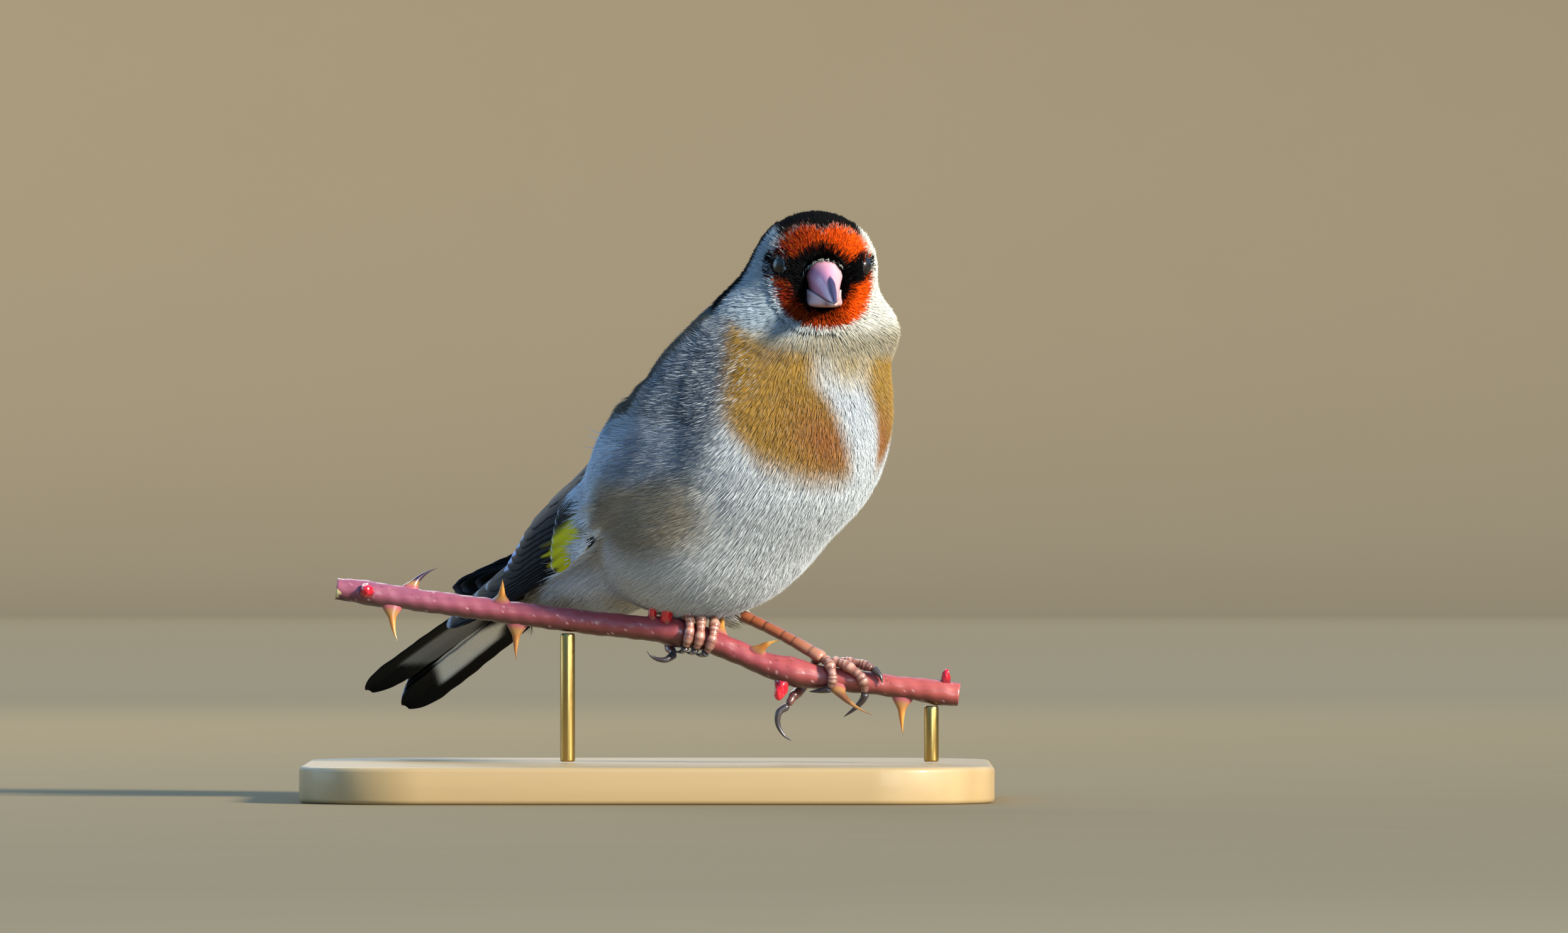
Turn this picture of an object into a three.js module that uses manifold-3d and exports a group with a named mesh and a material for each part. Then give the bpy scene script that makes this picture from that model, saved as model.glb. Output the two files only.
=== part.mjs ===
// A European goldfinch, life size, gripping a cut length of thorny rose stem on a plain display stand.
// Millimetres, +Z up, origin at the middle of the stand's underside. The stem runs along X and the bird
// looks towards -Y, with its body turned to the right of that and its tail behind on the left.
import * as THREE from "three";
import { mergeVertices } from "three/addons/utils/BufferGeometryUtils.js";
import Module from "manifold-3d";

const wasm = await Module();
wasm.setup();

// Fits
const GAP = 0.3; // clearance that two touching pieces keep
const SUNK = 1.2; // how deep a root goes into what it grows from

// Stand
const BASE_LENGTH = 112;
const BASE_DEPTH = 102;
const BASE_THICKNESS = 6;
const BASE_CORNER = 20;
const BASE_CHAMFER = 0.8;
const ROD_RADIUS = 1.2;
const ROD_SIDES = 12;
const ROD_PLACES = { left: -13, right: 46 };

// Rose stem: [along X, height of its middle], cut square at both ends
const STEM_Y = -9;
const STEM_RADIUS = 1.95;
const STEM_SIDES = 10;
const STEM_STEPS = 24;
const STEM_ROUTE = [
  [-50.5, 34.4],
  [-32, 31.8],
  [-8, 28.7],
  [4, 27.4],
  [10, 25.9],
  [19.5, 22],
  [26, 20.3],
  [37, 18.9],
  [50.5, 17.1],
];
// Swellings where a leaf or a shoot grew: [along X, extra radius]
const STEM_KNOTS = [
  [-45, 0.25],
  [4.5, 0.45],
  [23.5, 0.55],
  [47, 0.3],
];
const KNOT_REACH = 3;
// A thorn's root is at X on the stem, at an angle round it from the top towards the viewer.
const THORNS = [
  { x: -38.9, round: -15, length: 4.4, lean: 0.95 },
  { x: -41.3, round: 165, length: 6, lean: 0.3 },
  { x: -24, round: 25, length: 4.3, lean: -0.05 },
  { x: -21, round: 180, length: 6.2, lean: 0.1 },
  { x: 11, round: -35, length: 5.4, lean: -0.15 },
  { x: 17.2, round: 32, length: 3.9, lean: 0.75 },
  { x: 30.6, round: 135, length: 5.9, lean: 1.15 },
  { x: 41.5, round: 178, length: 6.4, lean: 0.15 },
];
const THORN_BASE = 1.5;
const THORN_STEPS = 3;
const THORN_SIDES = 6;
const BUDS = [
  { x: -45.6, round: 80, length: 1.8, radius: 1.25 },
  { x: 2.7, round: 35, length: 3.3, radius: 1.05 },
  { x: 0.5, round: 25, length: 2.6, radius: 0.75 },
  { x: 22.4, round: 165, length: 2.9, radius: 1.2 },
  { x: 48, round: 15, length: 2.1, radius: 0.85 },
];

// How the bird stands: the point of the floor under its body, and which way it heads from +X towards -Y
const BIRD_X = 6;
const BIRD_Y = STEM_Y + 3;
const HEADING = 45;

// Torso and neck, as lumps that melt into each other. at: [forward, left, up], radii: [along, across, deep]
const MELT = 7;
const TORSO_CELL = 3.4;
const TORSO_LUMPS = {
  belly: { at: [9.4, 1, 51.3], pitch: 44, radii: [25.5, 21, 17.1] },
  breast: { at: [20, 1.2, 62.5], pitch: 60, radii: [17.5, 20.7, 18.9] },
  rump: { at: [-15.6, 0, 41], pitch: 34, radii: [19, 12, 9] },
  undertail: { at: [-28, 0, 36], pitch: 28, radii: [14, 6, 4] },
  nape: { at: [22.5, 0, 73.5], pitch: 60, radii: [12, 12.5, 10.4] },
};

// Head, turned from the body's heading to look at the viewer: its middle in the bird's own frame
const HEAD_AT = [30.4, 0, 85];
const HEAD_YAW = 8.5; // from -Y towards +X
const HEAD_PITCH = 10; // bill down
const HEAD_CELL = 1.73;
const HEAD_MELT = 4;
// at and radii: [forward, left, up] from the middle of the head
const HEAD_LUMPS = {
  skull: { at: [-2.2, 0, 0.9], radii: [9.8, 9.8, 9.2] },
  cheeks: { at: [-1.8, 0.6, -8.6], radii: [9.2, 13, 7] },
  face: { at: [4, 0, 0.2], radii: [5.2, 6.2, 5.6] },
};
const NECK_CUT = { at: [27, 0, 75.5], pitch: 68 };
const SHOULDER_CUT = { at: [23, 0, 68.5], pitch: 62 };

// Eyes, in the head's frame
const EYE_RADIUS = 2.05;
const EYE_AT = [4.4, 6.1, 2.3];
const EYE_LOOK = [0.42, 1, 0.06]; // the way that the left eye looks
const EYE_COLUMNS = 12;
const EYE_ROWS = 8;
const LID_RADIUS = 0.42;
const LID_OUT = 0.82; // how far out of the eye's middle the rim of the lids lies, as a share of its radius

// Bill, in the head's frame
const BILL_ROOT = 7.2;
const BILL_TIP = [19.2, -1.4];
const BILL_TOP = 4;
const BILL_BOTTOM = -3.9;
const BILL_HALF_WIDTH = 3.3;
const MOUTH_AT_ROOT = -0.5;
const BILL_ROOM = 0.7; // how much wider than the bill the hole is that it sits in
const BILL_STEPS = 7;
const BILL_SIDES = 8;
const NOSTRIL = { at: [10.6, 2.45, 2.1], radii: [0.8, 0.7, 0.4] }; // a pit in each side of the upper half

// Wings: the wrist and the tip, the right wing's mirrored for the left unless it has its own
const WRIST = { right: [20, 17.5, 60], left: [15, 17.5, 58] };
const WING_TIP = { right: [-46.5, 5, 30.8], left: [-57, -1.5, 34.9] };
const WING_OUT = [0, 0.76, 0.65]; // the way a folded wing faces
const WING_ROLL = 15; // radius that a folded wing is bent to, across its feathers
const WING_BOW = 0.0018; // how fast it falls away from a straight line towards the wrist
const VANE = 0.55; // thickness
const TIER = 0.12; // each feather lies this much over the one before it
// Rows of feathers from the lowest to the top one, a quill's root and its tip as [along, across] the wing
const FLIGHT_ROWS = [
  { tips: [73, 76, 75, 70, 64.5, 59], half: 2.5, root: [20, -5], tip: -2.4, fan: [0.5, 0.22], bow: -0.8 },
  { tips: [55.5, 53.5, 51.5, 49.5], half: 2.7, root: [22, -2.8], tip: -1.2, fan: [1, 0.8], bow: 0 },
  { tips: [47.5, 42.5, 37], half: 3.2, root: [20, 2], tip: 3.4, fan: [1.7, 1.9], bow: 0.6 },
];
const COVERTS = { count: 5, root: [15, -5], tip: [29, -5.6], fan: [2.2, 2.35], half: 2 };
const SHOULDER = { from: 3, to: 19, across: 6.4, thick: 1 };

// Tail: its root in the bird's frame, which way it points and how it rolls, left side down
const TAIL_ROOT = [-23.5, 0.5, 42];
const TAIL_PITCH = -27.8;
const TAIL_ROLL = 24;
const TAIL_OUTER = 53;
const TAIL_FORK = 6.5;
const TAIL_PAIRS = 6;
const TAIL_VANE_HALF = 2.9;
const TAIL_TIER = 0.36; // each pair of feathers lies this much under the one inside it
const TAIL_BEND = 90; // the larger, the flatter the tail is across

// Legs. A toe's or claw's route: [along X from the foot, angle round the stem, extra height over its bark].
// The right heel lies hidden in the belly's feathers, so that foot has toes and claws only.
const TOE_RADIUS = 0.8;
const TOE_SIDES = 7;
const TOE_STEPS = 7;
const CLAW_STEPS = 5;
const CLAW_SIDES = 6;
const TARSUS_RADIUS = 0.95;
const FEET = {
  right: {
    x: 6.2,
    toes: {
      inner: {
        route: [[-1.4, 12, 2.4], [-0.4, 30, 0.9], [0.3, 62], [0.5, 95], [0.4, 128]],
        claw: [[0, 160], [-1, 186]],
      },
      middle: {
        route: [[0.8, 6, 1.8], [1.5, 30, 0.6], [2, 60], [2.25, 95], [2.1, 128]],
        claw: [[1.7, 160], [0.7, 188]],
      },
      outer: {
        route: [[3, 0, 1.2], [3.7, 30, 0.3], [4, 60], [4.15, 95], [3.9, 128]],
        claw: [[3.3, 160], [2.2, 190]],
      },
      hind: {
        route: [[-1.4, -20], [-2.6, -80], [-2.4, -130], [-1.2, -174]],
        claw: [[-2.6, -190, 1.3], [-4.6, -192, 1.5], [-6, -200, 0.8]],
      },
    },
  },
  left: {
    x: 28.2,
    heel: [2.2, 9, 30.3],
    toes: {
      inner: { route: [[0.2, 6], [1.2, 50], [1.8, 90], [1.6, 120]], claw: [[0.4, 140], [-1.6, 156]] },
      middle: {
        route: [[1.4, 8], [3.9, 38], [6.6, 80], [7.3, 122]],
        claw: [[7, 146, 0.4], [6, 164, 1.4], [4.2, 176, 3]],
      },
      outer: { route: [[1.6, -14], [3.8, -8], [6, 8], [8, 34]], claw: [[9.4, 60], [9.8, 84]] },
      hind: {
        route: [[-1.2, -14], [-1.8, -75], [-2.6, -130], [-3.8, -166, 0.5], [-4.2, -178, 1.9]],
        claw: [[-5.2, -182, 3.3], [-5, -182, 5.2], [-3.9, -182, 6.8], [-2.6, -182, 7.7]],
      },
    },
  },
};

// Colours
const finish = (color, roughness) =>
  new THREE.MeshStandardMaterial({ color, roughness, metalness: 0 });
const FINISHES = {
  breast: finish(0xd9cdb8, 0.9),
  face: finish(0xb5341a, 0.85),
  flight: finish(0x15151a, 0.6),
  bill: finish(0xe6c9cf, 0.4),
  eye: finish(0x0b0808, 0.08),
  leg: finish(0x8a5142, 0.5),
  claw: finish(0x2c2730, 0.35),
  bark: finish(0x8e4358, 0.45),
  wood: finish(0xcdbfa6, 0.5),
  brass: new THREE.MeshStandardMaterial({ color: 0xb39a5c, roughness: 0.35, metalness: 1 }),
};

// Frames
const radians = THREE.MathUtils.degToRad;
const vector = (a) => new THREE.Vector3(...a);
const birdFrame = new THREE.Matrix4()
  .makeTranslation(BIRD_X, BIRD_Y, 0)
  .multiply(new THREE.Matrix4().makeRotationZ(-radians(HEADING)));
const inBird = (a) => vector(a).applyMatrix4(birdFrame);

const headForward = new THREE.Vector3(
  Math.sin(radians(HEAD_YAW)) * Math.cos(radians(HEAD_PITCH)),
  -Math.cos(radians(HEAD_YAW)) * Math.cos(radians(HEAD_PITCH)),
  -Math.sin(radians(HEAD_PITCH)),
);
const headLeft = new THREE.Vector3(0, 0, 1).cross(headForward).normalize();
const headUp = headForward.clone().cross(headLeft);
const headFrame = new THREE.Matrix4()
  .makeBasis(headForward, headLeft, headUp)
  .setPosition(inBird(HEAD_AT));
const inHead = (a) => vector(a).applyMatrix4(headFrame);

// A frame whose X axis is the bird's forward axis pitched up by so many degrees
function pitchedFrame(at, pitch) {
  return birdFrame
    .clone()
    .multiply(new THREE.Matrix4().makeTranslation(...at))
    .multiply(new THREE.Matrix4().makeRotationY(-radians(pitch)));
}

// Solids
function solidOf(geometry) {
  const bare = geometry.index ? geometry.toNonIndexed() : geometry.clone();
  for (const name of Object.keys(bare.attributes)) {
    if (name !== "position") {
      bare.deleteAttribute(name);
    }
  }
  const merged = mergeVertices(bare, 1e-4);
  return new wasm.Manifold(
    new wasm.Mesh({
      numProp: 3,
      vertProperties: merged.attributes.position.array,
      triVerts: new Uint32Array(merged.index.array),
    }),
  );
}

function geometryOf(solid) {
  const mesh = solid.getMesh();
  const places = new Float32Array(mesh.numVert * 3);
  for (let i = 0; i < mesh.numVert; i++) {
    places.set(mesh.vertProperties.subarray(i * mesh.numProp, i * mesh.numProp + 3), i * 3);
  }
  return new THREE.BufferGeometry()
    .setAttribute("position", new THREE.BufferAttribute(places, 3))
    .setIndex(new THREE.BufferAttribute(mesh.triVerts, 1));
}

const fuse = (solids) => solids.reduce((all, one) => all.add(one));
const clearOf = (solid, ...others) => others.reduce((left, one) => left.subtract(one), solid);

function largest(solid) {
  return solid.decompose().reduce((best, one) => (one.volume() > best.volume() ? one : best));
}

// A closed body through rings of points, each ring turning the same way, with a lone point at a tip
function loft(rings) {
  const places = [];
  const starts = rings.map((ring) => {
    const start = places.length / 3;
    ring.forEach((p) => places.push(p.x, p.y, p.z));
    return start;
  });
  const faces = [];
  for (let r = 0; r + 1 < rings.length; r++) {
    const [near, far] = [rings[r].length, rings[r + 1].length];
    const count = Math.max(near, far);
    for (let i = 0; i < count; i++) {
      const next = (i + 1) % count;
      const a = starts[r] + (near > 1 ? i : 0);
      const b = starts[r] + (near > 1 ? next : 0);
      const c = starts[r + 1] + (far > 1 ? next : 0);
      const d = starts[r + 1] + (far > 1 ? i : 0);
      if (near > 1) faces.push(a, b, c);
      if (far > 1) faces.push(a, c, d);
    }
  }
  const close = (ring, start, turn) => {
    for (let i = 1; i + 1 < ring.length; i++) {
      faces.push(start, start + (turn ? i + 1 : i), start + (turn ? i : i + 1));
    }
  };
  close(rings[0], starts[0], true);
  close(rings.at(-1), starts.at(-1), false);
  return new THREE.BufferGeometry()
    .setAttribute("position", new THREE.Float32BufferAttribute(places, 3))
    .setIndex(faces);
}

function facingOut(geometry) {
  const solid = solidOf(geometry);
  if (solid.volume() > 0) {
    return solid;
  }
  const index = geometry.index.array;
  for (let i = 0; i < index.length; i += 3) {
    [index[i + 1], index[i + 2]] = [index[i + 2], index[i + 1]];
  }
  return solidOf(geometry);
}

// A round rod along a curve whose radius changes, pointed where the radius falls to nothing
function rod(curve, radiusAt, steps, sides) {
  const { normals, binormals } = curve.computeFrenetFrames(steps, false);
  const rings = [];
  for (let s = 0; s <= steps; s++) {
    const centre = curve.getPointAt(s / steps);
    const radius = radiusAt(s / steps);
    if (radius < 0.02) {
      rings.push([centre]);
      continue;
    }
    rings.push(
      Array.from({ length: sides }, (_, i) => {
        const turn = (2 * Math.PI * i) / sides;
        return centre
          .clone()
          .addScaledVector(normals[s], radius * Math.cos(turn))
          .addScaledVector(binormals[s], radius * Math.sin(turn));
      }),
    );
  }
  return facingOut(loft(rings));
}

// A thin plate over a grid of places, split into triangles alike on both faces
function plate(rows, columns, placeAt) {
  const places = [];
  for (const face of [1, -1]) {
    for (let r = 0; r <= rows; r++) {
      for (let c = 0; c <= columns; c++) {
        const p = placeAt(r / rows, (2 * c) / columns - 1, face);
        places.push(p.x, p.y, p.z);
      }
    }
  }
  const across = columns + 1;
  const under = (rows + 1) * across;
  const faces = [];
  for (let r = 0; r < rows; r++) {
    for (let c = 0; c < columns; c++) {
      const a = r * across + c;
      const [b, d, e] = [a + 1, a + across, a + across + 1];
      faces.push(a, b, e, a, e, d);
      faces.push(under + a, under + e, under + b, under + a, under + d, under + e);
    }
  }
  const wall = (a, b) => faces.push(a, b, under + a, b, under + b, under + a);
  for (let r = 0; r < rows; r++) {
    wall(r * across, (r + 1) * across);
    wall((r + 1) * across + columns, r * across + columns);
  }
  for (let c = 0; c < columns; c++) {
    wall(c + 1, c);
    wall(rows * across + c, rows * across + c + 1);
  }
  return facingOut(
    new THREE.BufferGeometry()
      .setAttribute("position", new THREE.Float32BufferAttribute(places, 3))
      .setIndex(faces),
  );
}

// The body's surface as a field: below nothing inside, above nothing outside, near the true distance
function lump(frame, radii) {
  const back = frame.clone().invert();
  const [a, b, c] = radii;
  const q = new THREE.Vector3();
  return (p) => {
    q.copy(p).applyMatrix4(back);
    const near = Math.hypot(q.x / a, q.y / b, q.z / c);
    const slope = Math.hypot(q.x / a ** 2, q.y / b ** 2, q.z / c ** 2);
    return slope > 0 ? (near * (near - 1)) / slope : -Math.min(a, b, c);
  };
}

function melt(a, b, reach) {
  const share = Math.max(reach - Math.abs(a - b), 0) / reach;
  return Math.min(a, b) - (share * share * reach) / 4;
}

const torsoLumps = Object.values(TORSO_LUMPS).map(({ at, pitch, radii }) =>
  lump(pitchedFrame(at, pitch), radii),
);
const headLumps = Object.values(HEAD_LUMPS).map(({ at, radii }) =>
  lump(headFrame.clone().multiply(new THREE.Matrix4().makeTranslation(...at)), radii),
);
function bodyField(p) {
  const torso = torsoLumps.map((f) => f(p)).reduce((a, b) => melt(a, b, MELT));
  const head = headLumps.map((f) => f(p)).reduce((a, b) => melt(a, b, HEAD_MELT));
  return melt(torso, head, MELT);
}

function slopeOf(field, p) {
  const step = 0.05;
  const along = ["x", "y", "z"].map((axis) => {
    const [high, low] = [p.clone(), p.clone()];
    high[axis] += step;
    low[axis] -= step;
    return (field(high) - field(low)) / (2 * step);
  });
  return vector(along);
}

// A closed mesh of the surface where the field is nothing, one vertex in each cell that it crosses
function surfaceOf(field, low, high, cell) {
  const counts = ["x", "y", "z"].map((k) => Math.ceil((high[k] - low[k]) / cell) + 1);
  const [nx, ny, nz] = counts;
  const at = (i, j, k) => (k * ny + j) * nx + i;
  const corner = (i, j, k) =>
    new THREE.Vector3(low.x + i * cell, low.y + j * cell, low.z + k * cell);
  const values = new Float32Array(nx * ny * nz);
  for (let k = 0; k < nz; k++) {
    for (let j = 0; j < ny; j++) {
      for (let i = 0; i < nx; i++) {
        values[at(i, j, k)] = field(corner(i, j, k));
      }
    }
  }
  const places = [];
  const vertexOf = new Map();
  const corners = [0, 1, 2, 3, 4, 5, 6, 7].map((n) => [n & 1, (n >> 1) & 1, n >> 2]);
  for (let k = 0; k + 1 < nz; k++) {
    for (let j = 0; j + 1 < ny; j++) {
      for (let i = 0; i + 1 < nx; i++) {
        const crossing = new THREE.Vector3();
        let found = 0;
        for (const a of corners) {
          for (let axis = 0; axis < 3; axis++) {
            if (a[axis]) continue;
            const b = a.slice();
            b[axis] = 1;
            const va = values[at(i + a[0], j + a[1], k + a[2])];
            const vb = values[at(i + b[0], j + b[1], k + b[2])];
            if (va < 0 === vb < 0) continue;
            const start = corner(i + a[0], j + a[1], k + a[2]);
            crossing.add(start.lerp(corner(i + b[0], j + b[1], k + b[2]), va / (va - vb)));
            found++;
          }
        }
        if (!found) continue;
        const p = crossing.divideScalar(found);
        for (let n = 0; n < 2; n++) {
          const slope = slopeOf(field, p);
          p.addScaledVector(slope, -field(p) / Math.max(slope.lengthSq(), 0.1));
        }
        vertexOf.set(at(i, j, k), places.length / 3);
        places.push(p.x, p.y, p.z);
      }
    }
  }
  const faces = [];
  for (let k = 1; k + 1 < nz; k++) {
    for (let j = 1; j + 1 < ny; j++) {
      for (let i = 1; i + 1 < nx; i++) {
        const inside = values[at(i, j, k)] < 0;
        const sides = [
          [values[at(i + 1, j, k)], [0, -1, -1], [0, 0, -1], [0, 0, 0], [0, -1, 0]],
          [values[at(i, j + 1, k)], [-1, 0, -1], [-1, 0, 0], [0, 0, 0], [0, 0, -1]],
          [values[at(i, j, k + 1)], [-1, -1, 0], [0, -1, 0], [0, 0, 0], [-1, 0, 0]],
        ];
        for (const [beyond, ...cells] of sides) {
          if (inside === beyond < 0) continue;
          const [a, b, c, d] = cells.map(([x, y, z]) => vertexOf.get(at(i + x, j + y, k + z)));
          faces.push(...(inside ? [a, b, c, a, c, d] : [a, c, b, a, d, c]));
        }
      }
    }
  }
  return facingOut(
    new THREE.BufferGeometry()
      .setAttribute("position", new THREE.Float32BufferAttribute(places, 3))
      .setIndex(faces),
  );
}

const bodyLow = new THREE.Vector3(-44, -50, 20);
const bodyHigh = new THREE.Vector3(50, 42, 102);
const grownBody = surfaceOf((p) => bodyField(p) - GAP, bodyLow, bodyHigh, TORSO_CELL);

// A cut through the neck, and the part of a solid above or below it
function cutPlane({ at, pitch }) {
  const frame = pitchedFrame(at, pitch);
  const normal = new THREE.Vector3().setFromMatrixColumn(frame, 0);
  return { normal, distance: new THREE.Vector3().setFromMatrixPosition(frame).dot(normal) };
}

function beyondCut(solid, cut, above) {
  const { normal, distance } = cutPlane(cut);
  return above
    ? solid.trimByPlane(normal.toArray(), distance + GAP / 2)
    : solid.trimByPlane(normal.clone().negate().toArray(), GAP / 2 - distance);
}

// Stem, thorns and buds
const stemCurve = new THREE.CatmullRomCurve3(
  STEM_ROUTE.map(([x, z]) => new THREE.Vector3(x, STEM_Y, z)),
);
function stemRadius(x) {
  const swell = STEM_KNOTS.map(([at, more]) => more * Math.exp(-(((x - at) / KNOT_REACH) ** 2)));
  return STEM_RADIUS - Math.abs(x) * 0.004 + Math.max(...swell);
}

function stemAt(x) {
  const [start, end] = [STEM_ROUTE[0][0], STEM_ROUTE.at(-1)[0]];
  const share = THREE.MathUtils.clamp((x - start) / (end - start), 0, 1);
  let [low, high] = [Math.max(share - 0.1, 0), Math.min(share + 0.1, 1)];
  for (let n = 0; n < 30; n++) {
    const middle = (low + high) / 2;
    if (stemCurve.getPointAt(middle).x < x) low = middle;
    else high = middle;
  }
  const along = stemCurve.getTangentAt(low);
  const front = new THREE.Vector3(0, -1, 0);
  const up = along.clone().cross(front).negate().normalize();
  return { centre: stemCurve.getPointAt(low), along, front, up: up.z > 0 ? up : up.negate() };
}

// A place over the bark: round is the angle from the stem's top towards the viewer
function overStem(x, round, over) {
  const { centre, front, up } = stemAt(x);
  const out = stemRadius(x) + over;
  return centre
    .clone()
    .addScaledVector(up, out * Math.cos(radians(round)))
    .addScaledVector(front, out * Math.sin(radians(round)));
}

function stemRod(more) {
  return rod(
    stemCurve,
    (t) => stemRadius(stemCurve.getPointAt(t).x) + more,
    STEM_STEPS,
    STEM_SIDES,
  );
}

function thorn({ x, round, length, lean }, more = 0) {
  const { along } = stemAt(x);
  const root = overStem(x, round, -SUNK);
  const out = overStem(x, round, 1).sub(overStem(x, round, 0));
  const reach = (outward, forward) =>
    root
      .clone()
      .addScaledVector(out, SUNK + length * outward)
      .addScaledVector(along, length * lean * forward);
  const [knee, tip] = [reach(0.45, 0.25), reach(0.92, 1)];
  const curve = new THREE.QuadraticBezierCurve3(root, knee, tip);
  return rod(curve, (t) => THORN_BASE * (1 - t) ** 1.7 + more, THORN_STEPS, THORN_SIDES);
}

function bud({ x, round, length, radius }, more = 0) {
  const line = new THREE.LineCurve3(overStem(x, round, -SUNK), overStem(x, round, length + more));
  return rod(line, (t) => (radius + more) * Math.sqrt(Math.max(1 - t ** 2.4, 0)), 4, 7);
}

// The stem with its thorns and buds, or the same grown by so much for what must keep clear of it
function perch(more) {
  return largest(
    fuse([
      stemRod(more),
      ...THORNS.map((way) => thorn(way, more)),
      ...BUDS.map((way) => bud(way, more)),
    ]),
  );
}

// Feet
const clawRadius = TOE_RADIUS * 0.62;
const toeHeight = (over = 0) => TOE_RADIUS + GAP + over;
const toeSwell = (t) => TOE_RADIUS * (0.9 + 0.14 * Math.cos(t * Math.PI * 6)) * (1 - 0.22 * t);

const onRoute = (x, [along, round, over]) => overStem(x + along, round, toeHeight(over));

function toe(x, { route }, more = 0) {
  const curve = new THREE.CatmullRomCurve3(route.map((place) => onRoute(x, place)));
  return rod(curve, (t) => toeSwell(t) + more, TOE_STEPS, TOE_SIDES);
}

function claw(x, { route, claw: ways }, more = 0) {
  const [before, end] = route.slice(-2).map((place) => onRoute(x, place));
  const root = end.clone().addScaledVector(end.clone().sub(before).normalize(), GAP);
  const points = ways.map(([along, round, over = -0.35]) => onRoute(x, [along, round, over]));
  const curve = new THREE.CatmullRomCurve3([root, ...points]);
  return rod(curve, (t) => clawRadius * (1 - t) ** 0.8 + more, CLAW_STEPS, CLAW_SIDES);
}

function tarsus({ x, heel }) {
  const foot = overStem(x, 0, toeHeight());
  const heelPoint = inBird(heel);
  const line = new THREE.LineCurve3(foot, heelPoint);
  return rod(line, (t) => TARSUS_RADIUS * (1 + 0.35 * (2 * t - 1) ** 4), 6, 8);
}

// Bill: a half seen from the front, [across, up] of its rim as a share of its root's size, drawn to the tip
function billHalf(upper, more) {
  const rings = [];
  for (let s = 0; s <= BILL_STEPS; s++) {
    const t = s / BILL_STEPS;
    const ahead = THREE.MathUtils.lerp(BILL_ROOT, BILL_TIP[0], t) - (s ? 0 : more);
    const taper = (1 - t) ** 0.8 * (1 - 0.12 * Math.sin(Math.PI * t));
    const seam = THREE.MathUtils.lerp(MOUTH_AT_ROOT, BILL_TIP[1], t ** 0.8);
    const edge = upper ? BILL_TOP - MOUTH_AT_ROOT : BILL_BOTTOM - MOUTH_AT_ROOT;
    const depth = edge * (upper ? 1 - t ** 1.6 : taper);
    const width = BILL_HALF_WIDTH * taper + more;
    const start = (upper ? 1 : -1) * (GAP / 2 - more);
    rings.push(
      Array.from({ length: BILL_SIDES + 1 }, (_, i) => {
        const turn = (Math.PI * i) / BILL_SIDES;
        const rise = (depth + Math.sign(edge) * (2 * more + 0.12)) * Math.sin(turn) ** (upper ? 0.85 : 0.6);
        return inHead([ahead, (width + 0.1) * Math.cos(turn), seam + start + rise]);
      }),
    );
  }
  return facingOut(loft(rings));
}

function upperBill() {
  const pits = [-1, 1].map((side) => {
    const [ahead, across, up] = NOSTRIL.at;
    const pit = new THREE.SphereGeometry(1, 8, 6).scale(...NOSTRIL.radii);
    return solidOf(pit.translate(ahead, across * side, up).applyMatrix4(headFrame));
  });
  return largest(clearOf(billHalf(true, 0), ...pits));
}

// Head, neck and torso
const eyePlaces = { right: -1, left: 1 };
const eyeCentre = (side) => inHead([EYE_AT[0], EYE_AT[1] * side, EYE_AT[2]]);
function eyeball(side, more) {
  const sphere = new THREE.SphereGeometry(EYE_RADIUS + more, EYE_COLUMNS, EYE_ROWS);
  return solidOf(sphere.rotateX(Math.PI / 2).translate(...eyeCentre(side).toArray()));
}

// The rim of the lids: a ring round the eye, square to the way that the eye looks
function lids(side) {
  const [ahead, across, up] = EYE_LOOK;
  const look = vector([ahead, across * side, up]).transformDirection(headFrame);
  const ring = new THREE.TorusGeometry(EYE_RADIUS * LID_OUT + GAP, LID_RADIUS, 5, 12)
    .applyQuaternion(new THREE.Quaternion().setFromUnitVectors(new THREE.Vector3(0, 0, 1), look))
    .translate(...eyeCentre(side).addScaledVector(look, EYE_RADIUS * 0.45).toArray());
  return solidOf(ring);
}

function head(bill) {
  const middle = inBird(HEAD_AT);
  const reach = new THREE.Vector3(22, 22, 24);
  const { normal, distance } = cutPlane(NECK_CUT);
  const field = (p) => Math.max(bodyField(p), distance - 2 * HEAD_CELL - normal.dot(p));
  const blank = surfaceOf(field, middle.clone().sub(reach), middle.clone().add(reach), HEAD_CELL);
  const whole = beyondCut(blank, NECK_CUT, true);
  const sides = Object.values(eyePlaces);
  const lidded = fuse([whole, ...sides.map(lids)]);
  return largest(clearOf(lidded, ...sides.map((side) => eyeball(side, GAP)), ...bill));
}

const wholeBody = surfaceOf(bodyField, bodyLow, bodyHigh, TORSO_CELL);
const neck = () => largest(beyondCut(beyondCut(wholeBody, NECK_CUT, false), SHOULDER_CUT, true));
const torso = (stem) => largest(clearOf(beyondCut(wholeBody, SHOULDER_CUT, false), stem));

// Wings: a folded wing's own directions, from the wrist along it, out of the body and across to the back
function wingFrame(side) {
  const mirror = ([s, l, z]) => [s, l * side, z];
  const wrist = inBird(mirror(side > 0 ? WRIST.left : WRIST.right));
  const tip = inBird(mirror(side > 0 ? WING_TIP.left : WING_TIP.right));
  const along = tip.clone().sub(wrist).normalize();
  const out = inBird(mirror(WING_OUT)).sub(inBird([0, 0, 0]));
  out.addScaledVector(along, -out.dot(along)).normalize();
  const back = out.clone().cross(along).normalize();
  if (back.z < 0) back.negate();
  return { wrist, along, out, back };
}

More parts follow.
